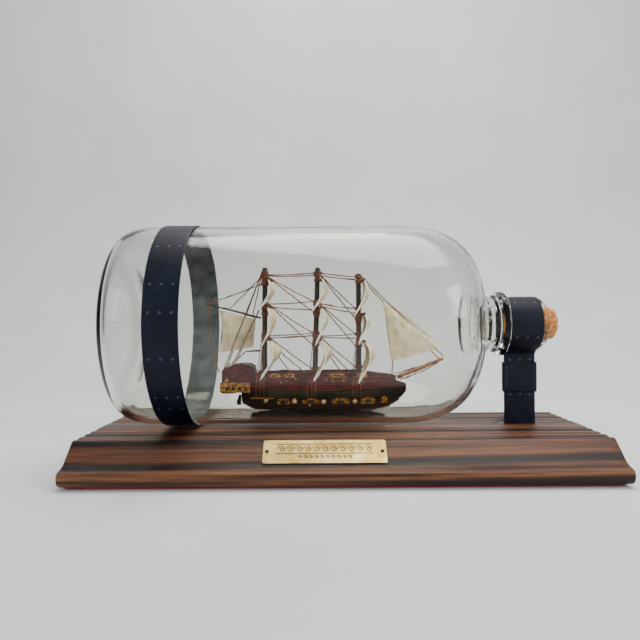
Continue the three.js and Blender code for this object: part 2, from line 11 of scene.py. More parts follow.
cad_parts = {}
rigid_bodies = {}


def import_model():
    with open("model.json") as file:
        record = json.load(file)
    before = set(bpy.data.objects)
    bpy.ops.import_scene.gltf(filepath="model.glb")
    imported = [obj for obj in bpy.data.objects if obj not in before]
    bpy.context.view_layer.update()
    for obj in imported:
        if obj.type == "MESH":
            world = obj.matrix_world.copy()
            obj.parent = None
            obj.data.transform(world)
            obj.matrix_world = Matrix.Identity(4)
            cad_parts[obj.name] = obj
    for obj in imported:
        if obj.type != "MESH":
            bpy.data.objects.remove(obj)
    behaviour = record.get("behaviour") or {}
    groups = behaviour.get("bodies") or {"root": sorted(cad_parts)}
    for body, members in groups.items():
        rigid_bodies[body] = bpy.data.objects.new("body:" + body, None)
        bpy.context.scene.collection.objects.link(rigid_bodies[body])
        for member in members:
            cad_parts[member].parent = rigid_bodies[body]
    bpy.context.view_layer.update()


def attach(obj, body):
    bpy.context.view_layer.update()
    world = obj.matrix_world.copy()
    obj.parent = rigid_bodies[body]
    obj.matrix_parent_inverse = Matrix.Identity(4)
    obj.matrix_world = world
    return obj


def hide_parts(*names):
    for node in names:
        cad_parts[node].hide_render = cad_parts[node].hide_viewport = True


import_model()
random.seed(7)

# ---- sizes, millimetres; ship and bottle are measured from the bottle's axis ----
MM = 0.001
AXIS_Y = 1.7
AXIS_Z = 76.2
SIDES = {"port": 1, "starboard": -1}

BOARD = {"length": 267.6, "top": 20.0, "underside": 1.0, "ridge": 0.75, "ridge_pitch": 7.8}
TOP_EDGE = (40.9, 19.5)
SLOPE_FOOT = (50.8, 10.5)
NOSE = [(53.6, 9.3), (56.8, 8.5), (58.1, 7.6), (58.4, 6), (58.2, 4.2), (57.2, 2.5), (55, 1.3), (53, 1)]
FELT = {"length": 265.0, "half_depth": 54.5, "thickness": 0.8}
PLATE = {"x": -9.6, "length": 59.6, "height": 13.2, "thickness": 0.5, "pin_x": 27.8}

BOTTLE_RADIUS = 55.0
BOTTLE_WALL = 2.5
BASE_X = -120.2
HEEL_LENGTH = 24.0
HEEL_RADIUS = 43.7
SHOULDER_X = 32.0
SHOULDER_END_X = 75.7
BEAD_X = 89.7
LIP_X = 114.4
NECK_RADIUS = 14.4
BORE_RADIUS = 9.4
CORK_END_X = 120.9

STRAP = {"width": 17.4, "thickness": 0.56, "bottle_x": -86.8, "neck_x": 101.4, "foot": -60.6}
DOT_COLUMNS = (-5.6, 0, 5.6)
DOT_ANGLES = (90, 72.7, 66.2, 45.2, 21, 6.6, -16.3, -39, -48.2)


def mix(a, b, t):
    return a + (b - a) * t


def spread(low, high, count):
    """count + 1 values from low to high."""
    return [mix(low, high, i / count) for i in range(count + 1)]


def angles(count):
    """count angles, in radians, that go once round a circle."""
    return [2 * math.pi * k / count for k in range(count)]


def squared(value, power):
    """A sine or cosine pushed towards its ends, for outlines between a circle and a rectangle."""
    return math.copysign(abs(value) ** power, value)


def about_axis(x, y, z):
    """A point measured from the bottle's axis, in metres in the row frame."""
    return Vector((x, y + AXIS_Y, z + AXIS_Z)) * MM


def on_board(x, y, z):
    return Vector((x, y, z)) * MM


# ---- materials -----------------------------------------------------------------
def srgb(code):
    """The linear colour of a six-digit colour code."""
    channels = [int(code[i : i + 2], 16) / 255 for i in (1, 3, 5)]
    linear = [c / 12.92 if c <= 0.04045 else ((c + 0.055) / 1.055) ** 2.4 for c in channels]
    return (*linear, 1.0)


EVEN = (1, 1, 1)  # a texture that isn't stretched


class Recipe:
    """One node material, built up from textures that read the piece's own coordinates."""

    def __init__(self, name, **sockets):
        self.material = bpy.data.materials.new(name)
        self.material.use_nodes = True
        self.tree = self.material.node_tree
        self.shader = self.tree.nodes["Principled BSDF"]
        self.output = self.tree.nodes["Material Output"]
        for socket, value in sockets.items():
            self.shader.inputs[socket.replace("_", " ")].default_value = value
        self.place = self.tree.nodes.new("ShaderNodeTexCoord").outputs["Object"]
        self.normal = None

    def node(self, kind, links=(), **values):
        made = self.tree.nodes.new(kind)
        for key, value in values.items():
            socket = key.replace("_", " ").title()
            if socket in made.inputs:
                made.inputs[socket].default_value = value
            else:
                setattr(made, key, value)
        for socket, source in links:
            self.tree.links.new(source, made.inputs[socket])
        return made

    def stretched(self, x, y, z):
        return self.node("ShaderNodeMapping", [("Vector", self.place)], scale=(x, y, z)).outputs["Vector"]

    def noise(self, scale, stretch=(1, 1, 1), detail=4.0, roughness=0.55, distortion=0.0):
        vector = self.stretched(*stretch)
        made = self.node("ShaderNodeTexNoise", [("Vector", vector)], scale=scale, detail=detail)
        made.inputs["Roughness"].default_value = roughness
        made.inputs["Distortion"].default_value = distortion
        return made.outputs["Fac"]

    def cells(self, scale, feature="F1", stretch=(1, 1, 1)):
        vector = self.stretched(*stretch)
        made = self.node("ShaderNodeTexVoronoi", [("Vector", vector)], feature=feature, scale=scale)
        return made.outputs["Distance"]

    def bands(self, scale, direction, distortion=0.0, profile="SIN"):
        made = self.node(
            "ShaderNodeTexWave", [("Vector", self.place)], bands_direction=direction, scale=scale
        )
        made.wave_profile = profile
        made.inputs["Distortion"].default_value = distortion
        return made.outputs["Fac"]

    def ramp(self, source, stops):
        made = self.node("ShaderNodeValToRGB", [("Fac", source)])
        points = made.color_ramp.elements
        while len(points) < len(stops):
            points.new(0.5)
        for point, (at, colour) in zip(points, stops):
            point.position = at
            point.color = srgb(colour)
        return made.outputs["Color"]

    def levels(self, source, low, high, start=0.0, end=1.0):
        made = self.node("ShaderNodeMapRange", [("Value", source)])
        for socket, value in (("From Min", start), ("From Max", end), ("To Min", low), ("To Max", high)):
            made.inputs[socket].default_value = value
        return made.outputs["Result"]

    def blend(self, fraction, first, second, kind="MIX"):
        made = self.tree.nodes.new("ShaderNodeMix")
        made.data_type = "RGBA"
        made.blend_type = kind
        if isinstance(fraction, float):
            made.inputs[0].default_value = fraction
        else:
            self.tree.links.new(fraction, made.inputs[0])
        self.tree.links.new(first, made.inputs[6])
        self.tree.links.new(second, made.inputs[7])
        return made.outputs[2]

    def height(self, axis="Z"):
        return self.node("ShaderNodeSeparateXYZ", [("Vector", self.place)]).outputs[axis]

    def colour(self, source):
        self.tree.links.new(source, self.shader.inputs["Base Color"])
        return self

    def rough(self, source, low, high):
        self.tree.links.new(self.levels(source, low, high), self.shader.inputs["Roughness"])
        return self

    def bump(self, source, depth, strength=1.0):
        """Adds relief of that depth, in metres, to any relief added before."""
        made = self.node("ShaderNodeBump", [("Height", source)])
        made.inputs["Strength"].default_value = strength
        made.inputs["Distance"].default_value = depth
        if self.normal:
            self.tree.links.new(self.normal, made.inputs["Normal"])
        self.normal = made.outputs["Normal"]
        self.tree.links.new(self.normal, self.shader.inputs["Normal"])
        return self


def one_noise(name, noise, stops, gloss, relief, **sockets):
    """A material whose colour, gloss and relief all follow one noise."""
    r = Recipe(name, **sockets)
    wear = r.noise(*noise)
    r.colour(r.ramp(wear, stops))
    return r.rough(wear, *gloss).bump(wear, *relief).material


def board_wood():
    """Varnished softwood with near-black late grain and a paler nose."""
    r = Recipe("board_wood", Coat_Weight=0.08, Coat_Roughness=0.35, Specular_IOR_Level=0.3)
    rings = r.node(
        "ShaderNodeTexWave", [("Vector", r.stretched(-0.025, 1, 1))], bands_direction="DIAGONAL", scale=31.4
    )
    rings.inputs["Distortion"].default_value = 3.6
    rings.inputs["Detail Scale"].default_value = 0.7
    late_stops = [(0.02, "#4a3a39"), (0.16, "#8a746d"), (0.38, "#f4f0ee"), (1.0, "#ffffff")]
    late = r.ramp(rings.outputs["Fac"], late_stops)
    grain = r.noise(1.0, (7, 260, 330), detail=3.5)
    fibre = r.noise(1.0, (40, 1500, 1500), detail=5.0)
    patch = r.noise(14.0, detail=2.0)
    tone = r.ramp(grain, [(0.34, "#3b2119"), (0.46, "#663a25"), (0.58, "#7d4c2f"), (0.72, "#8a5836")])
    nose = r.ramp(grain, [(0.38, "#46281b"), (0.5, "#8f5a34"), (0.68, "#ab7444")])
    low = r.levels(r.height(), 1.0, 0.0, 0.0068, 0.0092)
    body = r.blend(low, tone, nose)
    streaks = r.ramp(fibre, [(0.3, "#a0a0a0"), (0.7, "#ffffff")])
    shade = r.ramp(patch, [(0.3, "#cfcfcf"), (0.7, "#ffffff")])
    body = r.blend(1.0, r.blend(1.0, body, late, "MULTIPLY"), streaks, "MULTIPLY")
    r.colour(r.blend(1.0, body, shade, "MULTIPLY"))
    r.rough(fibre, 0.36, 0.62)
    return r.bump(grain, 0.0004, 0.35).bump(fibre, 0.00012, 0.5).material


def felt():
    r = Recipe("red_felt", Sheen_Weight=0.5, Sheen_Roughness=0.6)
    fuzz = r.noise(2600.0, detail=3.0)
    cloud = r.noise(120.0, detail=3.0)
    r.colour(r.ramp(r.blend(0.5, fuzz, cloud), [(0.3, "#7c131d"), (0.55, "#a81f2b"), (0.75, "#c13640")]))
    return r.rough(fuzz, 0.85, 1.0).bump(fuzz, 0.0003, 0.8).material


def brass():
    r = Recipe("plate_brass", Metallic=0.85)
    brushed = r.noise(1.0, (120, 6000, 6000), detail=4.0)
    stain = r.noise(90.0, detail=4.0)
    r.colour(r.ramp(stain, [(0.3, "#b4924a"), (0.55, "#dcbf78"), (0.75, "#ecd79c")]))
    return r.rough(brushed, 0.28, 0.48).bump(brushed, 0.00003, 0.4).material


def dark_metal():
    stops = [(0.35, "#2c2118"), (0.7, "#6d563a")]
    return one_noise("pin_steel", (1800.0, EVEN, 3.0), stops, (0.35, 0.6), (0.00005, 0.6), Metallic=0.8)


def enamel():
    stops = [(0.3, "#17130f"), (0.75, "#3a2f24")]
    return one_noise("engraving_dark", (2500.0, EVEN, 3.0), stops, (0.45, 0.7), (0.00003, 0.5))


def glass():
    """Clear bottle glass, faintly green. Light from the lamps passes on to what is inside."""
    r = Recipe(
        "bottle_glass", Base_Color=srgb("#eeefe9"), Transmission_Weight=1.0, IOR=1.3, Roughness=0.0
    )
    waves = r.noise(26.0, detail=2.0)
    drawn = r.noise(1.0, (30, 220, 220), detail=2.0)
    r.bump(waves, 0.0012, 0.35).bump(drawn, 0.0002, 0.3)
    rays = r.tree.nodes.new("ShaderNodeLightPath").outputs["Is Shadow Ray"]
    clear = r.tree.nodes.new("ShaderNodeBsdfTransparent")
    clear.inputs["Color"].default_value = srgb("#fafbf8")
    either = r.tree.nodes.new("ShaderNodeMixShader")
    r.tree.links.new(rays, either.inputs[0])
    r.tree.links.new(r.shader.outputs[0], either.inputs[1])
    r.tree.links.new(clear.outputs[0], either.inputs[2])
    r.tree.links.new(either.outputs[0], r.output.inputs["Surface"])
    return r.material


def cork():
    r = Recipe("cork")
    grain = r.cells(620.0, stretch=(1, 1.6, 1.6))
    pits = r.noise(420.0, detail=5.0)
    r.colour(r.ramp(pits, [(0.3, "#5a3216"), (0.42, "#b77338"), (0.6, "#d79450"), (0.75, "#e2ab6b")]))
    r.rough(pits, 0.95, 0.75)
    return r.bump(grain, 0.0003, 0.6).bump(pits, 0.0005, 0.7).material


def leather(name, lined_to=None):
    """Blue-black leather. Nearer the bottle's axis than lined_to, in metres, it is the raw grey side."""
    r = Recipe(name, Specular_IOR_Level=0.22)
    grain = r.cells(1500.0)
    wear = r.noise(150.0, detail=5.0)
    dyed = r.ramp(wear, [(0.3, "#020510"), (0.55, "#050d1f"), (0.78, "#0a1730")])
    if lined_to:
        raw = r.ramp(wear, [(0.3, "#3a3d42"), (0.7, "#666a6e")])
        shift = (0, -AXIS_Y * MM, -AXIS_Z * MM)
        centred = r.node("ShaderNodeMapping", [("Vector", r.place)], location=shift, scale=(0, 1, 1))
        reach = r.node("ShaderNodeVectorMath", operation="LENGTH")
        r.tree.links.new(centred.outputs["Vector"], reach.inputs[0])
        outside = r.levels(reach.outputs["Value"], 0.0, 1.0, lined_to, lined_to + 0.0001)
        dyed = r.blend(outside, raw, dyed)
    r.colour(dyed)
    r.rough(wear, 0.42, 0.62)
    return r.bump(grain, 0.0002, 0.5).bump(wear, 0.0003, 0.3).material


def pressed_leather():
    stops = [(0.3, "#0a0d15"), (0.7, "#39455c")]
    shine = {"Specular_IOR_Level": 0.5}
    return one_noise("strap_dots", (1900.0, EVEN, 3.0), stops, (0.25, 0.5), (0.0001, 0.5), **shine)


def putty():
    # Near-black: partly the putty's own colour, partly painted shade from under the hull.
    stops = [(0.3, "#050506"), (0.6, "#0f0e10"), (0.8, "#1c1917")]
    shine = {"Specular_IOR_Level": 0.2}
    return one_noise("glue_putty", (260.0, EVEN, 5.0), stops, (0.6, 0.9), (0.0012, 0.8), **shine)


def hull_paint(name, dark, body, light, gloss):
    """Glossy paint over planks, darker in the seams."""
    r = Recipe(name, Specular_IOR_Level=0.35)
    seams = r.bands(235.0, "Z", profile="SAW")
    wear = r.noise(330.0, (1, 3, 3), detail=5.0)
    tone = r.ramp(wear, [(0.3, dark), (0.52, body), (0.75, light)])
    lines = r.ramp(seams, [(0.0, "#3a3a3a"), (0.12, "#ffffff"), (1.0, "#e4e4e4")])
    r.colour(r.blend(1.0, tone, lines, "MULTIPLY"))
    r.rough(wear, gloss, gloss + 0.25)
    return r.bump(seams, 0.0004, 0.6).bump(wear, 0.0003, 0.5).material


def gilding():
    r = Recipe("gilt", Metallic=0.55)
    carving = r.noise(900.0, detail=4.0)
    leaf = r.noise(300.0, detail=4.0)
    r.colour(r.ramp(carving, [(0.36, "#1d0f0a"), (0.47, "#8a5a1d"), (0.62, "#c08a36"), (0.8, "#e3bd74")]))
    return r.rough(leaf, 0.3, 0.55).bump(carving, 0.0006, 0.9).material


def spar_wood(name, dark, body, light):
    stops = [(0.3, dark), (0.55, body), (0.8, light)]
    return one_noise(name, (1.0, (700, 700, 130), 4.0), stops, (0.45, 0.75), (0.0002, 0.6))


def sail_cloth(name, seams_along, stained, plain, bleached):
    """Cotton cloth in narrow widths, with a fine weave and a few stains."""
    r = Recipe(name, Sheen_Weight=0.1, Subsurface_Weight=0.2, Subsurface_Scale=0.0006)
    seams = r.bands(62.0, seams_along, profile="SAW")
    weave = r.noise(5200.0, detail=2.0)
    stain = r.noise(210.0, detail=4.0)
    tone = r.ramp(stain, [(0.3, stained), (0.5, plain), (0.75, bleached)])
    lines = r.ramp(seams, [(0.0, "#bdb497"), (0.05, "#ffffff"), (1.0, "#ffffff")])
    r.colour(r.blend(1.0, tone, lines, "MULTIPLY"))
    return r.rough(stain, 0.75, 0.92).bump(weave, 0.00008, 0.5).bump(stain, 0.0006, 0.4).material


def thread_fibre(name, dark, body, light):
    r = Recipe(name)
    twist = r.noise(3200.0, (1, 1, 1.6), detail=2.0)
    age = r.noise(130.0, detail=3.0)
    tone = r.ramp(age, [(0.3, dark), (0.55, body), (0.8, light)])
    lay = r.ramp(twist, [(0.35, "#8c8c8c"), (0.65, "#ffffff")])
    r.colour(r.blend(1.0, tone, lay, "MULTIPLY"))
    return r.rough(twist, 0.65, 0.9).bump(twist, 0.0001, 0.8).material


def dark_recess():
    stops = [(0.35, "#08080b"), (0.75, "#20181a")]
    return one_noise("recess_dark", (900.0, EVEN, 3.0), stops, (0.25, 0.5), (0.0001, 0.4))


def gun_bead():
    stops = [(0.3, "#9c7566"), (0.6, "#d8b8a4"), (0.8, "#efdccb")]
    shine = {"Metallic": 0.1, "Coat_Weight": 0.3}
    return one_noise("gun_bead", (900.0, EVEN, 3.0), stops, (0.3, 0.5), (0.0002, 0.5), **shine)


WOOD = board_wood()
FELT_RED = felt()
BRASS = brass()
DARK_METAL = dark_metal()
ENAMEL = enamel()
GLASS = glass()
CORK = cork()
LEATHER = leather("strap_leather")
LINED_LEATHER = leather("strap_leather_lined", (BOTTLE_RADIUS + 0.3) * MM)
DOTS = pressed_leather()
PUTTY_WITH_PAINTED_SHADE = putty()
BLACK = hull_paint("hull_black", "#030304", "#090a0e", "#171b26", 0.22)
MAROON = hull_paint("hull_maroon", "#1c0405", "#520d10", "#84221b", 0.4)
GILT = gilding()
SPAR = spar_wood("spar_brown", "#0f0908", "#251815", "#43302a")
BOWSPRIT_WOOD = spar_wood("spar_golden", "#4a2a12", "#8a5628", "#b47c40")
# Darker copy of the sail cloth: painted shade for the lee inside the square sails' belly.
SAIL_PAINTED_SHADE = sail_cloth("sail_square_painted_shade", "Y", "#97876a", "#c2b390", "#d6c9aa")
SAIL_FLAT = sail_cloth("sail_fore_and_aft", "X", "#b3a481", "#d6caa6", "#e6dcbf")
# Lightest copy of the sail cloth: painted highlight for the bright lit leech, also used for the whole flying
# jib.
SAIL_PAINTED_HIGHLIGHT = sail_cloth("sail_hem_painted_highlight", "Z", "#e0d5b8", "#f7efdc", "#fffaf0")
ROPE = thread_fibre("rigging_thread", "#532616", "#94502f", "#b87043")
DARK_ROPE = thread_fibre("rigging_dark", "#17100e", "#33231e", "#4e372e")
RECESS = dark_recess()
BEAD = gun_bead()


# ---- shapes --------------------------------------------------------------------
def placed(name, data):
    """A new object in the scene."""
    obj = bpy.data.objects.new(name, data)
    bpy.context.scene.collection.objects.link(obj)
    return obj


def piece(name, data, material, slot, nodes=(), body="stand"):
    obj = placed(name, data)
    data.materials.append(material)
    return join_frame(obj, slot, nodes, body)


def join_frame(obj, slot, nodes=(), body="stand"):
    if nodes:
        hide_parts(*nodes)
    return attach(obj, body)


def mesh_data(name, vertices, faces, smooth=True):
    data = bpy.data.meshes.new(name)
    data.from_pydata([tuple(v) for v in vertices], [], faces)
    data.validate()
    data.polygons.foreach_set("use_smooth", [smooth] * len(data.polygons))
    outward_faces(data)
    return data


def outward_faces(data):
    """Turns the faces outwards, judged by the volume they enclose."""
    volume = 0.0
    for face in data.polygons:
        corners = [data.vertices[i].co for i in face.vertices]
        for b, c in zip(corners[1:], corners[2:]):
            volume += corners[0].dot(b.cross(c))
    if volume < 0:
        data.flip_normals()


def loft(rings, looped=False):
    """Vertices and faces of closed rings joined in order, capped unless the last meets the first."""
    count = len(rings[0])
    faces = []
    pairs = len(rings) if looped else len(rings) - 1
    for s in range(pairs):
        here, there = s * count, (s + 1) % len(rings) * count
        for i in range(count):
            j = (i + 1) % count
            faces.append((here + i, here + j, there + j, there + i))
    if not looped:
        faces.append(tuple(reversed(range(count))))
        faces.append(tuple(range((len(rings) - 1) * count, len(rings) * count)))
    return [p for ring in rings for p in ring], faces


def merged(parts):
    """Several (vertices, faces) as one."""
    vertices, faces = [], []
    for some_vertices, some_faces in parts:
        base = len(vertices)
        vertices += some_vertices
        faces += [tuple(base + i for i in face) for face in some_faces]
    return vertices, faces


def sharpen(data, degrees=35):
    data.set_sharp_from_angle(angle=math.radians(degrees))
    return data


def turned(profile, sides, place=about_axis):
    """A profile of (x, radius) points, which starts and ends on the X axis of place, turned about it."""
    rings = [[place(x, r * math.sin(a), r * math.cos(a)) for x, r in profile] for a in angles(sides)]
    count = len(profile)
    faces = []
    for k in range(sides):
        here, there = k * count, (k + 1) % sides * count
        for i in range(count - 1):
            faces.append((here + i, here + i + 1, there + i + 1, there + i))
    return [p for ring in rings for p in ring], faces


def weld(data, distance=1e-7):
    work = bmesh.new()
    work.from_mesh(data)
    bmesh.ops.remove_doubles(work, verts=work.verts, dist=distance)
    bmesh.ops.dissolve_degenerate(work, edges=work.edges, dist=distance)
    bmesh.ops.recalc_face_normals(work, faces=work.faces)
    work.to_mesh(data)
    work.free()
    return data


def lines(name, paths, radius, material, slot, nodes=(), resolution=2):
    """Round threads or sticks through the points of each path: [(point, share of radius), ...]."""
    data = bpy.data.curves.new(name, "CURVE")
    data.dimensions = "3D"
    data.bevel_depth = radius * MM
    data.bevel_resolution = resolution
    data.use_fill_caps = True
    for points, cyclic in paths:
        spline = data.splines.new("POLY")
        spline.points.add(len(points) - 1)
        for target, (p, share) in zip(spline.points, points):
            target.co = (*p, 1.0)
            target.radius = share
        spline.use_cyclic_u = cyclic
        spline.use_smooth = True
    return piece(name, data, material, slot, nodes)


def thread(points, closed=False, share=1.0):
    """A path for lines() through points measured from the bottle's axis."""
    return [(about_axis(*p), share) for p in points], closed


def sagging(a, b, sag, steps=10):
    """A thread from a to b that hangs a little below the straight line."""
    points = []
    for i in range(steps + 1):
        t = i / steps
        p = [mix(a[k], b[k], t) for k in range(3)]
        p[2] -= 4 * sag * t * (1 - t)
        points.append(p)
    return thread(points)


def taper(a, b, shares):
    """A stick from a to b whose thickness follows the shares along it."""
    last = len(shares) - 1
    points = []
    for i, share in enumerate(shares):
        points.append((about_axis(*[mix(a[k], b[k], i / last) for k in range(3)]), share))
    return points, False


def ribbon(points, outward, across, width, thickness, looped=False, corners=20):
    """A band of leather along points, with rounded edges."""
    rings = []
    for p, n in zip(points, outward):
        ring = []
        for a in angles(corners):
            wide = squared(math.cos(a), 0.25) * width / 2
            high = squared(math.sin(a), 0.5) * thickness / 2
            ring.append((p + across * wide + n * high))
        rings.append([about_axis(*q) for q in ring])
    return loft(rings, looped)


def dome(centre, normal, radius, height, sides=12):
    """A shallow round bump standing on a surface; centre in millimetres from the axis."""
    n = normal.normalized()
    side = n.orthogonal().normalized()
    other = n.cross(side)
    rings = []
    for level, share in ((-0.4, 0.9), (0.0, 1.0), (0.45, 0.88), (0.85, 0.55), (1.0, 0.15)):
        ring = []
        for a in angles(sides):
            flat = side * math.cos(a) + other * math.sin(a)
            ring.append(about_axis(*(centre + n * (level * height) + flat * (radius * share))))
        rings.append(ring)
    return loft(rings)


# ---- board, felt and nameplate ---------------------------------------------------
def board_profile():
    """Front half of the moulding from the middle of the top: (distance from the middle, height)."""
    half = [(y, BOARD["top"] - worn_ridge(y)) for y in spread(0, 39.4, 76)] + [TOP_EDGE]
    for t in spread(0, 1, 8)[1:]:
        half.append((mix(TOP_EDGE[0], SLOPE_FOOT[0], t), mix(TOP_EDGE[1], SLOPE_FOOT[1], t)))
    knots = [half[-1], *NOSE]
    for k in range(len(knots) - 1):
        before, after = knots[max(0, k - 1)], knots[min(len(knots) - 1, k + 2)]
        for i in range(1, 5):
            half.append(curve_point(before, knots[k], knots[k + 1], after, i / 4))
    return [(min(y, 58.45), max(z, BOARD["underside"])) for y, z in half]


def worn_ridge(y):
    """How far the soft grain has worn away below the top, in narrow grooves between rounded ridges."""
    wave = abs(math.cos(math.pi * y / BOARD["ridge_pitch"]))
    return BOARD["ridge"] * (1 - wave) * min(1.0, max(0.0, y - 4) / 6)


def curve_point(before, a, b, after, t):
    """A point on the smooth curve through a and b."""
    point = []
    for p, q, r, s in zip(before, a, b, after):
        point.append(
            q + 0.5 * t * (r - p + t * (2 * p - 5 * q + 4 * r - s + t * (3 * (q - r) + s - p)))
        )
    return tuple(point)


def board():
    half = board_profile()
    outline = [(-y, z) for y, z in half] + [(y, z) for y, z in reversed(half[1:])]
    end = BOARD["length"] / 2
    rings = []
    for x in [-end, -end + 0.35, *spread(-end + 4, end - 4, 60), end - 0.35, end]:
        pinch = 0.35 if abs(x) == end else 0.0
        wander = 0.08 * math.sin(x * 0.11) + 0.05 * math.sin(x * 0.29 + 1)
        ring = []
        for y, z in outline:
            inset = 1 - pinch / 58
            ring.append(on_board(x, y * inset, 1 + (z - 1) * inset - (0.1 + wander * 0.5) * (z > 15)))
        rings.append(ring)
    data = mesh_data("board", *loft(rings))
    cutter_size = (STRAP["width"] + 0.6, 2 * STRAP["thickness"] + 1.2, 12.0)
    slot_box = block(on_board(STRAP["neck_x"], AXIS_Y, BOARD["top"]), cutter_size)
    return piece("moulded_board", sharpen(cut_away(data, slot_box)), WOOD, "board_wood", ["base_board"])


def block(centre, size):
    half = [value * MM / 2 for value in size]
    vertices = []
    for sx in (-1, 1):
        for sy in (-1, 1):
            for sz in (-1, 1):
                vertices.append(centre + Vector((sx * half[0], sy * half[1], sz * half[2])))
    faces = [(0, 1, 3, 2), (4, 6, 7, 5), (0, 4, 5, 1), (2, 3, 7, 6), (0, 2, 6, 4), (1, 5, 7, 3)]
    return vertices, faces


def cut_away(data, tool):
    """The mesh with the tool's shape taken out of it."""
    scene = bpy.context.scene.collection.objects
    body = bpy.data.objects.new("uncut", data)
    cutter = bpy.data.objects.new("cutter", mesh_data("cutter", *tool, smooth=False))
    scene.link(body)
    scene.link(cutter)
    change = body.modifiers.new("cut", "BOOLEAN")
    change.operation = "DIFFERENCE"
    change.solver = "EXACT"
    change.object = cutter
    bpy.context.view_layer.update()
    made = bpy.data.meshes.new_from_object(body.evaluated_get(bpy.context.evaluated_depsgraph_get()))
    bpy.data.objects.remove(body)
    bpy.data.objects.remove(cutter)
    return made


def felt_pad():
    """A cut sheet of felt with soft, slightly uneven edges."""
    rings = []
    for level, inset in ((0.0, 0.35), (0.1, 0.05), (0.55, 0.0), (0.76, 0.1), (0.8, 0.45)):
        ring = []
        for a in angles(240):
            wave = 0.12 * math.sin(17 * a) + 0.08 * math.sin(41 * a)
            x = squared(math.cos(a), 0.04) * (FELT["length"] / 2 - 0.2 - inset + wave)
            y = squared(math.sin(a), 0.04) * (FELT["half_depth"] - 0.2 - inset + wave)
            ring.append(on_board(x, y, level))
        rings.append(ring)
    piece("felt_sheet", mesh_data("felt", *loft(rings)), FELT_RED, "red_felt", ["felt_pad"])


def slope_frame(x, lift):
    """A frame on the front slope, with its Z axis out of the wood."""
    tilt = math.atan2(TOP_EDGE[1] - SLOPE_FOOT[1], SLOPE_FOOT[0] - TOP_EDGE[0])
    y = -(TOP_EDGE[0] + SLOPE_FOOT[0]) / 2 - lift * math.sin(tilt)
    z = (TOP_EDGE[1] + SLOPE_FOOT[1]) / 2 + lift * math.cos(tilt)
    return Matrix.Translation(on_board(x, y, z)) @ Matrix.Rotation(tilt, 4, "X")


def nameplate():
    """A thin plate with rounded corners and two pin holes."""
    data = bpy.data.curves.new("plate", "CURVE")
    data.dimensions = "2D"
    data.fill_mode = "BOTH"
    data.extrude = (PLATE["thickness"] / 2 - 0.08) * MM
    data.bevel_depth = 0.08 * MM
    data.bevel_resolution = 3
    w, h = PLATE["length"] / 2 - 0.1, PLATE["height"] / 2 - 0.1
    outline = []
    for cx, cy, start in ((w, h, 0), (-w, h, 90), (-w, -h, 180), (w, -h, 270)):
        for step in range(6):
            a = math.radians(start + step * 18)
            inner_x, inner_y = math.copysign(abs(cx) - 0.9, cx), math.copysign(abs(cy) - 0.9, cy)
            outline.append((inner_x + 0.9 * math.cos(a), inner_y + 0.9 * math.sin(a)))
    loops = [outline]
    for side in (-1, 1):
        loops.append([(side * PLATE["pin_x"] + 0.75 * math.cos(a), 0.75 * math.sin(a)) for a in angles(20)])
    for loop in loops:
        spline = data.splines.new("POLY")
        spline.points.add(len(loop) - 1)
        for target, (x, y) in zip(spline.points, loop):
            target.co = (x * MM, y * MM, 0, 1)
        spline.use_cyclic_u = True
    plate = placed("brass_plate", data)
    plate.matrix_world = slope_frame(PLATE["x"], 0.2 + PLATE["thickness"] / 2)
    data.materials.append(BRASS)
    join_frame(plate, "plate_brass", ["nameplate"])


def scroll(x, y, size, turns=1.6):
    """One curling wave of the plate's ornament."""
    points = []
    for k in range(30):
        t = k / 29
        a = math.pi * (1 - 2 * turns * t)
        r = size * (1 - 0.85 * t)
        points.append(Vector((x + r * math.cos(a) + 0.35 * size * t, y + r * math.sin(a), 0)) * MM)
    return points


def plate_ornament():
    """Two rows of engraved waves between fine lines, where a plate would carry its legend."""
    place = slope_frame(PLATE["x"], 0.2 + PLATE["thickness"])
    paths = [scroll(x, 1.4, 1.9) for x in spread(-21, 21, 10)]
    paths += [scroll(x, -3.1, 0.95, 1.2) for x in spread(-12, 12, 9)]
    for y in (-1.1, 4.2):
        paths.append([Vector((x, y, 0)) * MM for x in (-23.5, 0, 23.5)])
    shown = [([(place @ p, 1.0) for p in path], False) for path in paths]
    lines("plate_engraving", shown, 0.2, ENAMEL, "pin_steel")


def plate_pins():
    profile = [(-0.3, 0.0), (-0.3, 0.6), (0.0, 0.95), (0.25, 0.85), (0.5, 0.5), (0.6, 0.0)]
    for side, name in ((-1, "left"), (1, "right")):
        place = slope_frame(PLATE["x"] + side * PLATE["pin_x"], 0.2 + PLATE["thickness"] + 0.15)
        vertices, faces = turned(profile, 20, place=lambda x, y, z: place @ (Vector((y, z, x)) * MM))
        data = weld(mesh_data(f"pin_{name}", vertices, faces))
        piece(f"plate_pin_{name}_head", data, DARK_METAL, "pin_steel", [f"nameplate_pin_{name}"])


board()
felt_pad()
nameplate()
plate_ornament()
plate_pins()


# ---- bottle and cork ---------------------------------------------------------------
def super_arc(x0, r0, x1, r1, power, steps, bulge):
    """A quarter of a superellipse between two (x, radius) points."""
    points = []
    for i in range(steps + 1):
        t = i / steps * math.pi / 2
        rise = math.sin(t) ** (2 / power)
        run = 1 - abs(math.cos(t)) ** (2 / power)
        u, v = (run, rise) if bulge == "first" else (rise, run)
        points.append((mix(x0, x1, u), mix(r0, r1, v)))
    return points


def smooth_through(points, steps=4):
    shown = []
    for k in range(len(points) - 1):
        before, after = points[max(0, k - 1)], points[min(len(points) - 1, k + 2)]
        for i in range(steps):
            shown.append(curve_point(before, points[k], points[k + 1], after, i / steps))
    return shown + [points[-1]]


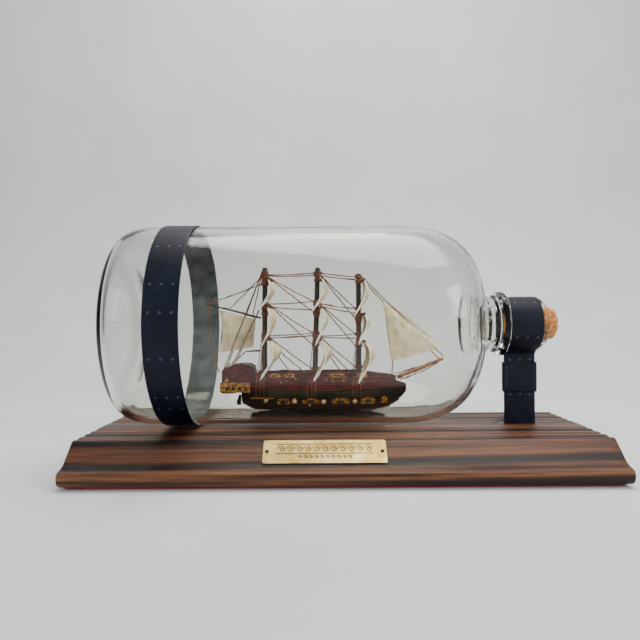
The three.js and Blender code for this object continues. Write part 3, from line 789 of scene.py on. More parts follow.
def bottle():
    inner = BOTTLE_RADIUS - BOTTLE_WALL
    base = [(BASE_X + 5, 0), (BASE_X + 4.2, 16), (BASE_X + 1.8, 30), (BASE_X + 0.3, 37)]
    base.append((BASE_X, HEEL_RADIUS))
    neck = [
        (SHOULDER_END_X, 18), (78, 15.6), (80, 15.2), (81.4, 16.4), (82.8, 15.2), (84.6, 15.2),
        (86, 16.4), (87.2, 15.8), (BEAD_X - 1.8, 17.6), (BEAD_X, 18.2), (BEAD_X + 1.8, 17.6),
        (BEAD_X + 2.4, NECK_RADIUS + 0.3), (BEAD_X + 3.2, NECK_RADIUS), (LIP_X - 5, NECK_RADIUS),
        (LIP_X - 2, 13.9), (LIP_X - 0.4, 12.6), (LIP_X, 11.6), (LIP_X, BORE_RADIUS + 0.8),
        (LIP_X - 0.9, BORE_RADIUS),
    ]
    hollow_end = [(84, BORE_RADIUS), (79, 10.8), (75.2, 14.5), (72.6, 18)]
    heel_inside = (BASE_X + 2.8, HEEL_RADIUS - 2.6)
    hollow_base = [heel_inside, (BASE_X + 4.8, 28), (BASE_X + 6.8, 14), (BASE_X + 7.6, 0)]
    heel = super_arc(BASE_X, HEEL_RADIUS, BASE_X + HEEL_LENGTH, BOTTLE_RADIUS, 2.7, 24, "first")
    shoulder = super_arc(SHOULDER_X, BOTTLE_RADIUS, SHOULDER_END_X, 18, 2.44, 32, "last")
    shoulder_in = super_arc(SHOULDER_X, inner, 72.6, 18, 2.44, 32, "last")
    heel_in = super_arc(*heel_inside, BASE_X + HEEL_LENGTH, inner, 2.7, 24, "first")
    body_xs = spread(BASE_X + HEEL_LENGTH, SHOULDER_X, 12)[1:-1]
    profile = smooth_through(base)[:-1] + heel + [(x, BOTTLE_RADIUS) for x in body_xs] + shoulder
    profile += smooth_through(neck)[1:] + [(LIP_X - 6, BORE_RADIUS), (LIP_X - 20, BORE_RADIUS)]
    profile += smooth_through(hollow_end)[:-1] + shoulder_in[::-1]
    profile += [(x, inner) for x in reversed(body_xs)] + heel_in[::-1] + smooth_through(hollow_base)[1:]
    data = weld(mesh_data("bottle", *turned(profile, 144)), 1e-6)
    return piece("bottle_jug", data, GLASS, "bottle_glass", ["bottle"])


def stopper():
    inner, outer = BORE_RADIUS - 0.9, BORE_RADIUS - 0.25
    knots = [
        (LIP_X - 12, 0), (LIP_X - 12, inner - 0.7), (LIP_X - 11.3, inner),
        (LIP_X - 5, mix(inner, outer, 0.6)), (LIP_X - 1, outer), (CORK_END_X - 2.2, outer - 0.4),
        (CORK_END_X - 0.6, outer - 1.5), (CORK_END_X - 0.05, outer - 3.2), (CORK_END_X - 0.05, 0),
    ]
    profile = []
    for x, r in smooth_through(knots, 5):
        profile.append((min(x, CORK_END_X - 0.05), max(0.0, min(r, outer))))
    vertices, faces = turned(profile, 64)
    data = weld(mesh_data("stopper", vertices, faces), 1e-6)
    for vertex in data.vertices:
        pit = 0.12 * MM * random.random()
        reach = Vector((0, vertex.co.y - AXIS_Y * MM, vertex.co.z - AXIS_Z * MM))
        vertex.co -= reach.normalized() * pit if reach.length > 1e-4 else Vector()
    piece("cork_stopper", data, CORK, "cork", ["cork"], body="cork")


bottle()
stopper()


# ---- straps ------------------------------------------------------------------------
def strap_dots(name, places):
    data = mesh_data(name, *merged([dome(p, n, 0.72, 0.22) for p, n in places]))
    piece(name, data, DOTS, "strap_leather")


def around(radius, degrees):
    """A point and outward direction on a circle about the axis; 0 faces the front, 90 is the top."""
    a = math.radians(degrees)
    out = Vector((0, -math.cos(a), math.sin(a)))
    return out * radius, out


def bottle_band():
    radius = BOTTLE_RADIUS + 0.2 + STRAP["thickness"] / 2
    points, outward = [], []
    for k in range(144):
        p, n = around(radius, 2.5 * k)
        points.append(p + Vector((STRAP["bottle_x"], 0, 0)))
        outward.append(n)
    across = Vector((1, 0, 0))
    band = ribbon(points, outward, across, STRAP["width"], STRAP["thickness"], looped=True)
    piece("bottle_band", mesh_data("band", *band), LINED_LEATHER, "strap_leather", ["bottle_strap"])
    places = []
    for degrees in (*DOT_ANGLES, *[180 - a for a in DOT_ANGLES[1:]]):
        p, n = around(radius + STRAP["thickness"] / 2, degrees)
        for x in DOT_COLUMNS:
            places.append((p + Vector((STRAP["bottle_x"] + x, 0, 0)), n))
    strap_dots("bottle_band_dots", places)


def neck_band():
    """One strap looped over the neck, its two ends brought together down to the board."""
    radius = NECK_RADIUS + 0.3 + STRAP["thickness"] / 2
    pinch = 24
    half = STRAP["thickness"] / 2 + 0.02
    low = -radius - 3.2
    side = []
    for t in spread(0, 1, 14):
        side.append(Vector((0, -half, mix(STRAP["foot"], low, t))))
    turn = around(radius, pinch - 90)[0]
    middle = Vector((0, -half, -radius - 0.6))
    for t in spread(0, 1, 8)[1:]:
        side.append(side[14] * (1 - t) ** 2 + middle * (2 * t * (1 - t)) + turn * t ** 2)
    arc = []
    for a in spread(pinch - 90, 90, 40)[1:]:
        arc.append(around(radius, a)[0])
    half_path = side + arc
    path = half_path + [Vector((0, -p.y, p.z)) for p in reversed(half_path[:-1])]
    outward = []
    for i in range(len(path)):
        along = path[min(i + 1, len(path) - 1)] - path[max(i - 1, 0)]
        outward.append(Vector((0, -along.z, along.y)).normalized())
    centre = Vector((STRAP["neck_x"], 0, 0))
    band = ribbon([p + centre for p in path], outward, Vector((1, 0, 0)), STRAP["width"], STRAP["thickness"])
    piece("neck_band", mesh_data("neck", *band), LEATHER, "strap_leather", ["neck_strap"])
    places = []
    for degrees in (50, -29):
        p, n = around(radius + STRAP["thickness"] / 2, degrees)
        places += [(p + centre + Vector((x, 0, 0)), n) for x in DOT_COLUMNS]
    front = Vector((0, -1, 0))
    for z in (-20.4, -40.0):
        p = Vector((0, -half - STRAP["thickness"] / 2, z))
        places += [(p + centre + Vector((x, 0, 0)), front) for x in DOT_COLUMNS]
    strap_dots("neck_band_dots", places)
    keeper()
    frayed_ends()


def keeper():
    """The loop of strap that holds the two ends together."""
    width = STRAP["width"] / 2 + 0.65
    depth = 0.02 + STRAP["thickness"] + 0.2 + 0.4
    points, outward = [], []
    for a in angles(72):
        points.append(Vector((squared(math.cos(a), 0.18) * width, squared(math.sin(a), 0.35) * depth, -30.1)))
    for i in range(len(points)):
        along = points[(i + 1) % len(points)] - points[i - 1]
        outward.append(Vector((along.y, -along.x, 0)).normalized())
    centre = Vector((STRAP["neck_x"], 0, 0))
    up = Vector((0, 0, 1))
    band = ribbon([p + centre for p in points], outward, up, 16.8, 0.7, looped=True)
    piece("keeper_loop", mesh_data("keeper", *band), LEATHER, "strap_leather", ["strap_keeper"])
    front = Vector((0, -1, 0))
    y = -depth - 0.34
    places = []
    for row in range(9):
        for column in (-8.3, -7.4):
            z = -24.5 - 1.4 * row
            places.append((Vector((STRAP["neck_x"] + column, y, z)), front))
    data = mesh_data("stitches", *merged([dome(p, n, 0.36, 0.16) for p, n in places]))
    piece("keeper_stitches", data, DOTS, "strap_leather")


def frayed_ends():
    """Loose strands of stitching beside the foot of the strap."""
    paths = []
    start = Vector((STRAP["neck_x"] - 8.4, -1.2, -55.4))
    for reach, lift in ((8.2, 2.6), (7.0, 0.9), (5.4, 3.2), (6.4, 1.7)):
        points = []
        for t in spread(0, 1, 10):
            x = start.x - reach * t
            y = start.y - 1.5 * t + 0.6 * math.sin(5 * t + reach)
            z = start.z + lift * math.sin(math.pi * t) - 0.35 * t
            points.append((about_axis(x, y, z), 1.0 - 0.4 * t))
        paths.append((points, False))
    lines("frayed_strands", paths, 0.17, DARK_ROPE, "rigging_thread")


bottle_band()
neck_band()


# ---- hull ----------------------------------------------------------------------------
# Place along X, half breadth at the wale, and the heights of keel, wale and deck.
STATIONS = [
    (-66.4, 5.4, -39.6, -38.2, -25.4), (-61, 6.4, -41.2, -38.0, -23.2), (-55.5, 7.1, -44.2, -37.2, -22.1),
    (-51, 7.5, -46.6, -36.2, -22.7), (-48.3, 7.7, -47.6, -35.7, -24.6), (-47.8, 7.7, -47.8, -35.6, -29),
    (-34, 8, -49.2, -36.2, -29.4), (-14, 8, -49.8, -36.5, -29.6), (6, 7.7, -49.5, -36.3, -29.5),
    (17, 6.6, -48.6, -35.9, -29.4), (26, 4.6, -46.8, -35.3, -29.8), (33, 2.2, -42.6, -34.8, -32.2),
    (37, 0.7, -37.4, -34.4, -33.4),
]
SEAM = 0.1
STERN_X = -66.4
LOWER_HULL_X = -55.5
DEPTHS = (0, 0.2, 0.4, 0.55, 0.7, 0.82, 0.91, 0.97, 1)  # from wale to keel, closer where the hull turns in
LOW_GUN = (-17.4, -44.6)
GUNS = ((-41.6, -41.6), (-25.8, -42.2), (-9.7, -42.6), (7.5, -42.4))


def even_curve(xs, ys, x):
    """A curve through the points that never overshoots them."""
    x = min(max(x, xs[0]), xs[-1])
    k = max(i for i in range(len(xs) - 1) if xs[i] <= x)
    slopes = [(ys[i + 1] - ys[i]) / (xs[i + 1] - xs[i]) for i in range(len(xs) - 1)]

    def tangent(i):
        if i in (0, len(xs) - 1):
            return slopes[0] if i == 0 else slopes[-1]
        before, after = slopes[i - 1], slopes[i]
        return 0.0 if before * after <= 0 else 2 * before * after / (before + after)

    span = xs[k + 1] - xs[k]
    t = (x - xs[k]) / span
    start, end = ys[k], ys[k + 1]
    a, b = tangent(k) * span, tangent(k + 1) * span
    return (
        start * (1 + 2 * t) * (1 - t) ** 2 + a * t * (1 - t) ** 2
        + end * t * t * (3 - 2 * t) + b * t * t * (t - 1)
    )


def station(x):
    xs = [s[0] for s in STATIONS]
    return [even_curve(xs, [s[k] for s in STATIONS], x) for k in (1, 2, 3, 4)]


def half_breadth(x, z):
    half, keel, wale, _ = station(x)
    if z >= wale:
        return half * (1 - 0.12 * (z - wale) / 13)
    depth = min(1.0, (wale - z) / (wale - keel))
    return half * max(0.0, 1 - depth ** 2.6) ** 0.62


def hull_ring(x, heights):
    side = [(max(0.3, half_breadth(x, z)), z) for z in heights]
    ring = [about_axis(x, y, z) for y, z in side]
    return ring + [about_axis(x, -y, z) for y, z in reversed(side)]


HULL_XS = [*spread(STERN_X, -48.4, 24), -48.1, *spread(-47.8, 37, 90)]


def hull():
    lower, upper = [], []
    for x in HULL_XS:
        _, keel, wale, deck = station(x)
        if x >= LOWER_HULL_X:
            lower.append(hull_ring(x, [mix(wale - SEAM, keel, t) for t in DEPTHS]))
        heights = [mix(wale + SEAM, deck, t) for t in spread(0, 1, 8)]
        upper.append(hull_ring(x, heights))
    low = sharpen(mesh_data("lower", *loft(lower)))
    piece("hull_black_half", low, BLACK, "hull_black", ["hull_lower"])
    high = sharpen(mesh_data("upper", *loft(upper)))
    piece("hull_maroon_half", high, MAROON, "hull_maroon", ["hull_upper"])


def on_hull(side, x, z, out=0.0):
    """A point that far out from the side of the hull."""
    return Vector((x, side * (half_breadth(x, z) + out), z))


def knob(side, x, z, radius, height, out=0.0, tilt=0.0, sides=12):
    """A round bump on the side of the hull."""
    return dome(on_hull(side, x, z, out), Vector((0, side, tilt)), radius, height, sides)


def side_patch(side, x0, x1, low, high, stand, thick, columns=14, arch=0.0):
    """A carved panel that follows the side of the hull; arch lowers its upper corners."""
    rings = []
    for x in spread(x0, x1, columns):
        u = 2 * (x - x0) / (x1 - x0) - 1
        top = high - arch * abs(u) ** 2.5
        ring = []
        for z, out in ((low, 0), (top, 0), (top - 0.12, thick), (low + 0.12, thick)):
            ring.append(about_axis(*on_hull(side, x, z, stand + out)))
        rings.append(ring)
    return loft(rings)


def side_rail(side, x0, x1, height, out, columns=60):
    points = []
    for x in spread(x0, x1, columns):
        points.append((about_axis(*on_hull(side, x, height(x), out)), 1.0))
    return points, False


# Gilded gunport panels: first and last place along X, and how far the top arches.
PORT_PANELS = (
    (-35.2, -28.6, 0.5), (-21.8, -12.2, 0.9), (-5.2, 4.6, 0.9), (11.0, 18.8, 0.7), (22.4, 25.8, 0.3)
)
DECK_PANELS = ((-39.4, -33.4), (-31.6, -25.6), (-6.4, 2.4), (8.6, 14.4))
ROSETTES = (
    (-33, -31.8), (-30.2, -30.9), (-25.2, -29.9), (-8, -30.2), (-4.4, -31.2), (1.2, -31), (12, -31.4)
)


def bulwark_top(x):
    return -26.4 - 2.3 * max(0.0, (x - 6) / 24) ** 1.5


def bulwark(name, side):
    rings = []
    for x in spread(-47.2, 31, 60):
        deck = station(x)[3]
        outer = half_breadth(x, deck) - 0.1
        inner = max(0.5, outer - 0.8)
        low, top = deck + 0.05, bulwark_top(x) - 0.2
        corners = ((inner, low), (outer, low), (outer, top), (inner, top))
        rings.append([about_axis(x, side * y, z) for y, z in corners])
    data = sharpen(mesh_data(f"bulwark_{name}", *loft(rings)))
    piece(f"bulwark_planks_{name}", data, MAROON, "hull_maroon", [f"bulwark_{name}"])


def gilt_panels(name, side):
    gilt = [side_patch(side, a, b, -44.0, -40.7, 0.12, 0.45, arch=arch) for a, b, arch in PORT_PANELS]
    gilt += [side_patch(side, a, b, -29.1, -26.9, 0.06, 0.3, arch=0.2) for a, b in DECK_PANELS]
    gilt.append(side_patch(side, -50.2, -36.6, -40.9, -40.1, 0.1, 0.3))
    gilt += [knob(side, x, z, 0.5, 0.45, tilt=0.1) for x, z in ROSETTES]
    data = sharpen(mesh_data(f"gilt_{name}", *merged(gilt)))
    piece(f"gilt_panels_{name}", data, GILT, "gilt", [f"gun_row_{name}"])


def port_lid(side, x0, x1, share, *place, arch=0.0):
    """A dark lid over the middle of a panel; share is half its width as a part of the panel's."""
    middle, half = (x0 + x1) / 2, (x1 - x0) * share
    return side_patch(side, middle - half, middle + half, *place, arch=arch)


def port_lids(name, side):
    """The dark ports in the gilded panels; the last panel, at the bow, has none."""
    dark = [port_lid(side, a, b, 0.22, -43.5, -41.5, 0.5, 0.14, arch=0.6) for a, b, _ in PORT_PANELS[:-1]]
    dark += [port_lid(side, a, b, 0.2, -28.6, -27.5, 0.32, 0.1) for a, b in DECK_PANELS]
    piece(f"port_lids_{name}", mesh_data(f"lids_{name}", *merged(dark)), RECESS, "hull_black")


def guns(name, side):
    """The gun ends, with a gilded ring round each but the low one."""
    ends = [knob(side, x, z, 1.0, 1.7, sides=16) for x, z in GUNS]
    ends.append(knob(side, *LOW_GUN, 0.5, 0.6))
    piece(f"gun_ends_{name}", mesh_data(f"guns_{name}", *merged(ends)), BEAD, "gilt")
    rings = []
    for x, z in GUNS:
        y = on_hull(side, x, z, 0.3).y
        ring = [(x + 1.35 * math.cos(a), y, z + 1.35 * math.sin(a)) for a in angles(16)]
        rings.append(thread(ring, True))
    lines(f"gun_rings_{name}", rings, 0.22, GILT, "gilt")


def rails(name, side):
    """The black wales, the cap rails along the waist and the rail round the poop."""
    wales = [
        side_rail(side, -50, 36.4, lambda x: station(x)[2] + 0.1, 0.05),
        side_rail(side, -50, 36, lambda x: station(x)[2] - 0.9, 0.08),
    ]
    lines(f"wales_{name}", wales, 0.32, BLACK, "hull_black")
    caps = [
        side_rail(side, -47.2, 31, lambda x: bulwark_top(x) - 0.15, -0.35),
        side_rail(side, -47, 30, lambda x: station(x)[3] + 0.2, 0.05),
    ]
    lines(f"cap_rails_{name}", caps, 0.34, MAROON, "hull_maroon")
    poop = [side_rail(side, -66, -48.6, lambda x: station(x)[3] + 0.1, -0.2, 30)]
    lines(f"poop_rail_{name}", poop, 0.36, MAROON, "hull_maroon")


def stern_gallery():
    """The carved gallery round the stern, with a scalloped foot."""
    low, high, thick, start = -37.7, -31.8, 0.7, -50.4
    wrap = [(x, 1) for x in spread(start, STERN_X, 12)] + [(x, -1) for x in spread(STERN_X, start, 12)]
    rings = []
    for x, side in wrap:
        reach = 1 if x <= STERN_X else 0
        foot = low + 0.35 * abs(math.sin(math.pi * (x - start) / 2.6))
        ring = []
        for z, out in ((foot, 0), (high, 0), (high - 0.2, thick), (foot + 0.2, thick)):
            y = side * (half_breadth(x, z) + 0.15 + out)
            ring.append(about_axis(x - reach * (0.15 + out), y, z))
        rings.append(ring)
    data = sharpen(mesh_data("gallery", *loft(rings)))
    piece("stern_gallery_band", data, GILT, "gilt", ["stern_gallery"])


def stern_carving():
    """The gallery's trim, windows and knobs."""
    windows, knobs = [], []
    for side in SIDES.values():
        trim = [side_rail(side, -66.2, -50.5, lambda x: z, 0.85, 30) for z in (-32.1, -36.9)]
        lines(f"gallery_trim_{side}", trim, 0.3, GILT, "gilt")
        knobs += [knob(side, x, -36.9, 0.4, 0.5, 0.9) for x in spread(-65, -51.4, 8)]
        for x in (-63.2, -59.6, -56.0, -52.6):
            windows.append(side_patch(side, x - 0.85, x + 0.85, -35.9, -33.9, 0.86, 0.16, 8, arch=0.6))
        knobs += [knob(side, x, -32.9, 0.55, 0.55, 0.85) for x in (-65, -61.4, -57.8, -54.3, -51)]
        knobs.append(knob(side, -63.6, -31, 1.1, 1.3, sides=16))
    windows += [block(about_axis(STERN_X - 0.9, y, -35), (0.3, 1.2, 2.6)) for y in (-3, -1, 1, 3)]
    piece("stern_windows", mesh_data("windows", *merged(windows)), RECESS, "gilt")
    piece("stern_knobs", mesh_data("knobs", *merged(knobs)), GILT, "gilt")


def rudder():
    rings = []
    for z in spread(-45.2, -39.6, 12):
        aft = 0.5 * math.sin(0.9 * (z + 45.2))
        corners = ((-58.2 - aft, 0.25), (-56.2, 0.5), (-56.2, -0.5), (-58.2 - aft, -0.25))
        rings.append([about_axis(x, y, z) for x, y in corners])
    piece("rudder_blade", sharpen(mesh_data("rudder", *loft(rings))), BLACK, "hull_black", ["rudder"])


def deck_fittings():
    """The hatch with its grating, and small deck houses along the waist."""
    frame_parts = [block(about_axis(-2.4, 0, -28.75), (8, 4.6, 0.9))]
    for y in (-1.5, -0.5, 0.5, 1.5):
        frame_parts.append(block(about_axis(-2.4, y, -28.05), (7.2, 0.35, 0.5)))
    for x in spread(-5.2, 0.4, 6):
        frame_parts.append(block(about_axis(x, 0, -27.9), (0.3, 4.0, 0.3)))
    data = mesh_data("hatch", *merged(frame_parts), smooth=False)
    piece("hatch_grating", data, SPAR, "spar_brown", ["deck_hatch"])
    places = ((-34, 2.6), (-22, 2.2), (18, 2.0))
    houses = [block(about_axis(x, 0, -28.5), (w, 3.4, 1.3)) for x, w in places]
    piece("deck_houses", mesh_data("houses", *merged(houses), smooth=False), MAROON, "hull_maroon")


def glue_bed():
    """Dark putty squeezed out between the keel and the glass, made near-black as painted shade for the shadow
    under the hull.
    """
    inner = BOTTLE_RADIUS - BOTTLE_WALL
    rings = []
    for x in spread(-51, 25, 70):
        end = min(1.0, (x + 51.2) / 14, (25.2 - x) / 16)
        half = (6.4 + 0.7 * math.sin(0.55 * x) + 0.4 * math.sin(1.7 * x + 2)) * max(0.15, end) ** 0.5
        settled = max(0.0, end) ** 0.7
        top = mix(0.6 - inner, station(x)[1] + 0.2 + 0.35 * math.sin(0.8 * x), settled)
        ring = []
        for s in spread(-1, 1, 10):
            y = half * s
            ring.append(about_axis(x, y, -math.sqrt(inner ** 2 - y * y) + 0.12))
        for s in spread(0.85, -0.85, 10):
            crown = top - abs(s) ** 2 * 1.1 + 0.15 * math.sin(9 * s + x)
            floor = -math.sqrt(inner ** 2 - (half * s) ** 2) + 0.35
            ring.append(about_axis(x, half * s, max(floor, crown)))
        rings.append(ring)
    piece("putty_bed_painted_shade", sharpen(mesh_data("putty", *loft(rings)), 60), PUTTY_WITH_PAINTED_SHADE, "glue_putty", ["glue_bed"])


hull()
for side_name, side_sign in SIDES.items():
    bulwark(side_name, side_sign)
    gilt_panels(side_name, side_sign)
    port_lids(side_name, side_sign)
    guns(side_name, side_sign)
    rails(side_name, side_sign)
stern_gallery()
stern_carving()
rudder()
deck_fittings()
glue_bed()


# ---- masts, yards and sails -------------------------------------------------------------
MAST_FOOT_Z = -28.7
MAST_FOOT_R = 1.6
MAST_HEAD_R = 1.5
YARD_R = 0.6
YARD_OUT = 2.6
MASTS = {
    "mizzen": {"foot": -43, "head": -42.5, "top": 32.2, "sails": ((24.7, 8.1), (9.2, -11.5), (-9.2, -29.3))},
    "main": {"foot": -14.5, "head": -12.6, "top": 32.5, "sails": ((24.9, 7.5), (8.8, -11), (-9.5, -30.3))},
    "fore": {"foot": 10.4, "head": 10.4, "top": 28.7, "sails": ((24, 5), (5, -10.5), (-10.2, -31.2))},
}
TIERS = ("topgallant", "topsail", "course")
YARD_HALF = (9.5, 12, 14.2)
BELLY = (3.2, 3.8, 6.6)
CLEW_SWEEP = (5.4, 3.2, 3.6)
FOOT_ARC = (5.6, 6.2, 6)
CLOTH = 0.3


def mast_x(mast, z):
    return mast["foot"] + (mast["head"] - mast["foot"]) * (z - MAST_FOOT_Z) / (mast["top"] - MAST_FOOT_Z)


def mast_r(mast, z):
    t = (z - MAST_FOOT_Z) / (mast["top"] - MAST_FOOT_Z)
    return mix(MAST_FOOT_R, MAST_HEAD_R, t)


def mast_stick(name, mast):
    """A whittled mast: tapered, a little faceted, with a cap at each doubling and a square-cut head."""
    rings = []
    caps = [pair[0] - 2.2 for pair in mast["sails"][1:]]
    heights = spread(MAST_FOOT_Z, mast["top"], 60) + [c + d for c in caps for d in (-0.7, -0.6, 0.6, 0.7)]
    for z in sorted(heights):
        swell = 0.15 if any(abs(z - c) <= 0.61 for c in caps) else 0.0
        r = mast_r(mast, z) + swell + 0.04 * math.sin(2.1 * z)
        ring = []
        for step in angles(16):
            a = step + 0.2
            reach = r * (1 - 0.07 * math.cos(4 * a))
            ring.append(about_axis(mast_x(mast, z) + reach * math.cos(a), reach * math.sin(a), z))
        rings.append(ring)
    data = sharpen(mesh_data(name, *loft(rings)))
    piece(f"{name}_mast_spar", data, SPAR, "spar_brown", [f"{name}_mast"])


def yard(name, mast, tier):
    z = mast["sails"][tier][0] + 0.9
    x = mast_x(mast, z) + YARD_OUT
    half = YARD_HALF[tier] + 1.1
    shares = (0.45, 0.62, 0.78, 0.92, 1.0, 1.0, 1.0, 0.92, 0.78, 0.62, 0.45)
    sail = f"{name}_{TIERS[tier]}"
    stick = taper((x, -half, z), (x, half, z), shares)
    lines(f"{sail}_spar", [stick], YARD_R, SPAR, "spar_brown", [f"{sail}_yard"])


def sheet_mesh(surface, columns, rows, direction):
    """A closed sheet of cloth over surface(u, v), with its one-sided area, its width and its length."""
    grid = [[Vector(surface(u, v)) for v in spread(0, 1, rows)] for u in spread(0, 1, columns)]
    offset = Vector(direction) * CLOTH / 2
    area = 0.0
    for i in range(columns):
        for j in range(rows):
            a, b, c, d = grid[i][j], grid[i + 1][j], grid[i + 1][j + 1], grid[i][j + 1]
            area += ((c - a).cross(d - b)).length / 2
    square = direction[0] == 1
    width = max(across([column[j] for column in grid], square) for j in range(rows + 1))
    length = max(path_length(column) for column in grid)
    rings = []
    for column in grid:
        ring = [about_axis(*(p + offset)) for p in column]
        rings.append(ring + [about_axis(*(p - offset)) for p in reversed(column)])
    return loft(rings), area, width, length


def across(row, square):
    """How wide the cloth is along a row; the arch in a square sail's foot is cut, so its rise isn't width."""
    if square:
        row = [Vector((p.x, p.y, 0)) for p in row]
    return path_length(row)


def path_length(points):
    return sum((b - a).length for a, b in zip(points, points[1:]))


def cloth_piece(name, surface, columns, rows, direction, node, cloth):
    (vertices, faces), area, width, length = sheet_mesh(surface, columns, rows, direction)
    data = sharpen(mesh_data(name, vertices, faces), 60)
    sail = piece(name, data, cloth, "sail_cloth", [node])
    return sail


def square_sail(name, mast, tier):
    """A square sail that bellies towards the bow, with its foot cut to an arch."""
    head, clew = mast["sails"][tier]
    head += 0.3
    x0 = mast_x(mast, head) + YARD_OUT
    seed = 1.3 * tier + mast["foot"]

    def surface(i, v):
        u = 2 * i - 1
        half = YARD_HALF[tier] * (0.94 + 0.06 * v) * (1 - 0.03 * math.sin(math.pi * v))
        arch = FOOT_ARC[tier] * (1 - abs(u) ** 3) * v
        belly = BELLY[tier] * math.sin(math.pi * v ** 0.8) * (1 - 0.45 * u * u)
        crease = 0.14 * math.sin(9 * u + 4 * v + seed) * v * (1 - v) * 4
        gather = 0.12 * math.cos(26 * u) * (1 - v) ** 4
        sweep = CLEW_SWEEP[tier] * u * u * v ** 1.5
        return x0 + belly - sweep + crease + gather, half * u, head + (clew - head) * v + arch

    node = f"{name}_{TIERS[tier]}"
    # Square sails wear the darker cloth copy, painted shade for their lee side.
    cloth_piece(f"{node}_sail", surface, 40, 28, (1, 0, 0), node, SAIL_PAINTED_SHADE)
    rope_edge(node, surface)


def rope_edge(name, surface):
    """The bolt rope round a square sail, in the lightest cloth copy as a painted highlight along the lit
    leech, and the lacing that ties its head to the yard.
    """
    outline = [surface(0, v) for v in spread(0, 1, 24)] + [surface(u, 1) for u in spread(0, 1, 30)]
    outline += [surface(1, v) for v in spread(1, 0, 24)]
    lines(f"{name}_bolt_rope", [thread(outline)], 0.42, SAIL_PAINTED_HIGHLIGHT, "sail_cloth")
    laces = []
    for u in spread(0.04, 0.96, 8):
        x, y, z = surface(u, 0)
        loop = [(x + 0.72 * math.cos(a), y, z + 0.6 + 0.78 * math.sin(a)) for a in angles(12)]
        laces.append(thread(loop, True))
    lines(f"{name}_lacing", laces, 0.1, ROPE, "rigging_thread")


GAFF = ((-44.8, 0, 4.0), (-73.3, 0, 11.3))
BOOM = ((-45.2, 0, -14.4), (-53.4, 0, -14.8))
BOWSPRIT = ((31.9, 0, -30), (58.4, 0, -19.6))
SPANKER = ((-47.8, 3.4), (-68.2, 8.2), (-69.2, -15.6), (-49.4, -12.4))
JIB = ((24.8, 12.8), (23.8, 12), (28.5, -21), (55.2, -13.6))
FLYING_JIB = ((28.6, 11.6), (27.2, 9.6), (55.6, -14), (58.8, -12.6))


def fore_and_aft(corners, y, belly, hollow, ripple):
    """The surface of a sail between four corners (x, z), bellied to starboard."""
    (ax, az), (bx, bz), (cx, cz), (dx, dz) = corners

    def surface(u, v):
        x = mix(mix(ax, bx, u), mix(dx, cx, u), v)
        z = mix(mix(az, bz, u), mix(dz, cz, u), v)
        draw = math.sin(math.pi * u) * math.sin(math.pi * v)
        wrinkle = ripple * math.sin(11 * u + 7 * v) * draw
        return x + hollow * u * math.sin(math.pi * v), y - belly * draw + wrinkle, z

    return surface


for mast_name, mast_data in MASTS.items():
    mast_stick(mast_name, mast_data)
    for level in range(3):
        yard(mast_name, mast_data, level)
        square_sail(mast_name, mast_data, level)

lines("gaff_spar", [taper(*GAFF, (1, 1, 0.9, 0.8, 0.7))], 0.6, SPAR, "spar_brown", ["gaff"])
lines("boom_spar", [taper(*BOOM, (1, 1, 0.85, 0.7))], 0.6, SPAR, "spar_brown", ["boom"])
bowsprit = taper(*BOWSPRIT, (1, 1, 0.95, 0.85, 0.7))
lines("bowsprit_spar", [bowsprit], 1.2, BOWSPRIT_WOOD, "spar_golden", ["bowsprit"])
spanker = fore_and_aft(SPANKER, 0, 2, 2.4, 0.15)
cloth_piece("spanker_sail", spanker, 30, 30, (0, 1, 0), "spanker", SAIL_FLAT)
jib = fore_and_aft(JIB, -0.9, 1.2, 1, 0.12)
cloth_piece("jib_sail", jib, 30, 36, (0, 1, 0), "jib", SAIL_FLAT)
flying = fore_and_aft(FLYING_JIB, 1, -1.1, 0, 0.0)
# The flying jib is in the lightest cloth copy, a painted highlight.
cloth_piece("flying_jib_sail", flying, 12, 40, (0, 1, 0), "flying_jib", SAIL_PAINTED_HIGHLIGHT)


# ---- rigging -------------------------------------------------------------------------------
THREAD = 0.31
AFT, FORWARD = -1, 1
MIZZEN, MAIN, FORE = MASTS["mizzen"], MASTS["main"], MASTS["fore"]


def lashing(mast, z, turns=4):
    """Turns of thread wound round a mast."""
    loops = []
    r = mast_r(mast, z) + 0.3
    for k in range(turns):
        height = z + 0.46 * (k - (turns - 1) / 2)
        x = mast_x(mast, height)
        loops.append(thread([(x + r * math.cos(a), r * math.sin(a), height) for a in angles(18)], True))
    return loops


def at_mast(mast, z, way):
    """The point of a lashing that faces AFT or FORWARD."""
    return (mast_x(mast, z) + way * (mast_r(mast, z) + 0.3), 0, z)


def between(aft, fore):
    """A thread from a (mast, height) to one on a mast further forward."""
    return sagging(at_mast(*aft, FORWARD), at_mast(*fore, AFT), 0.25)


def rigging(name, node, knots, threads, radius=THREAD):
    """Threads, with a lashing round the mast at each knot (mast, height)."""
    paths = []
    for mast, z in knots:
        paths += lashing(mast, z)
    lines(name, paths + threads, radius, ROPE, "rigging_thread", [node])


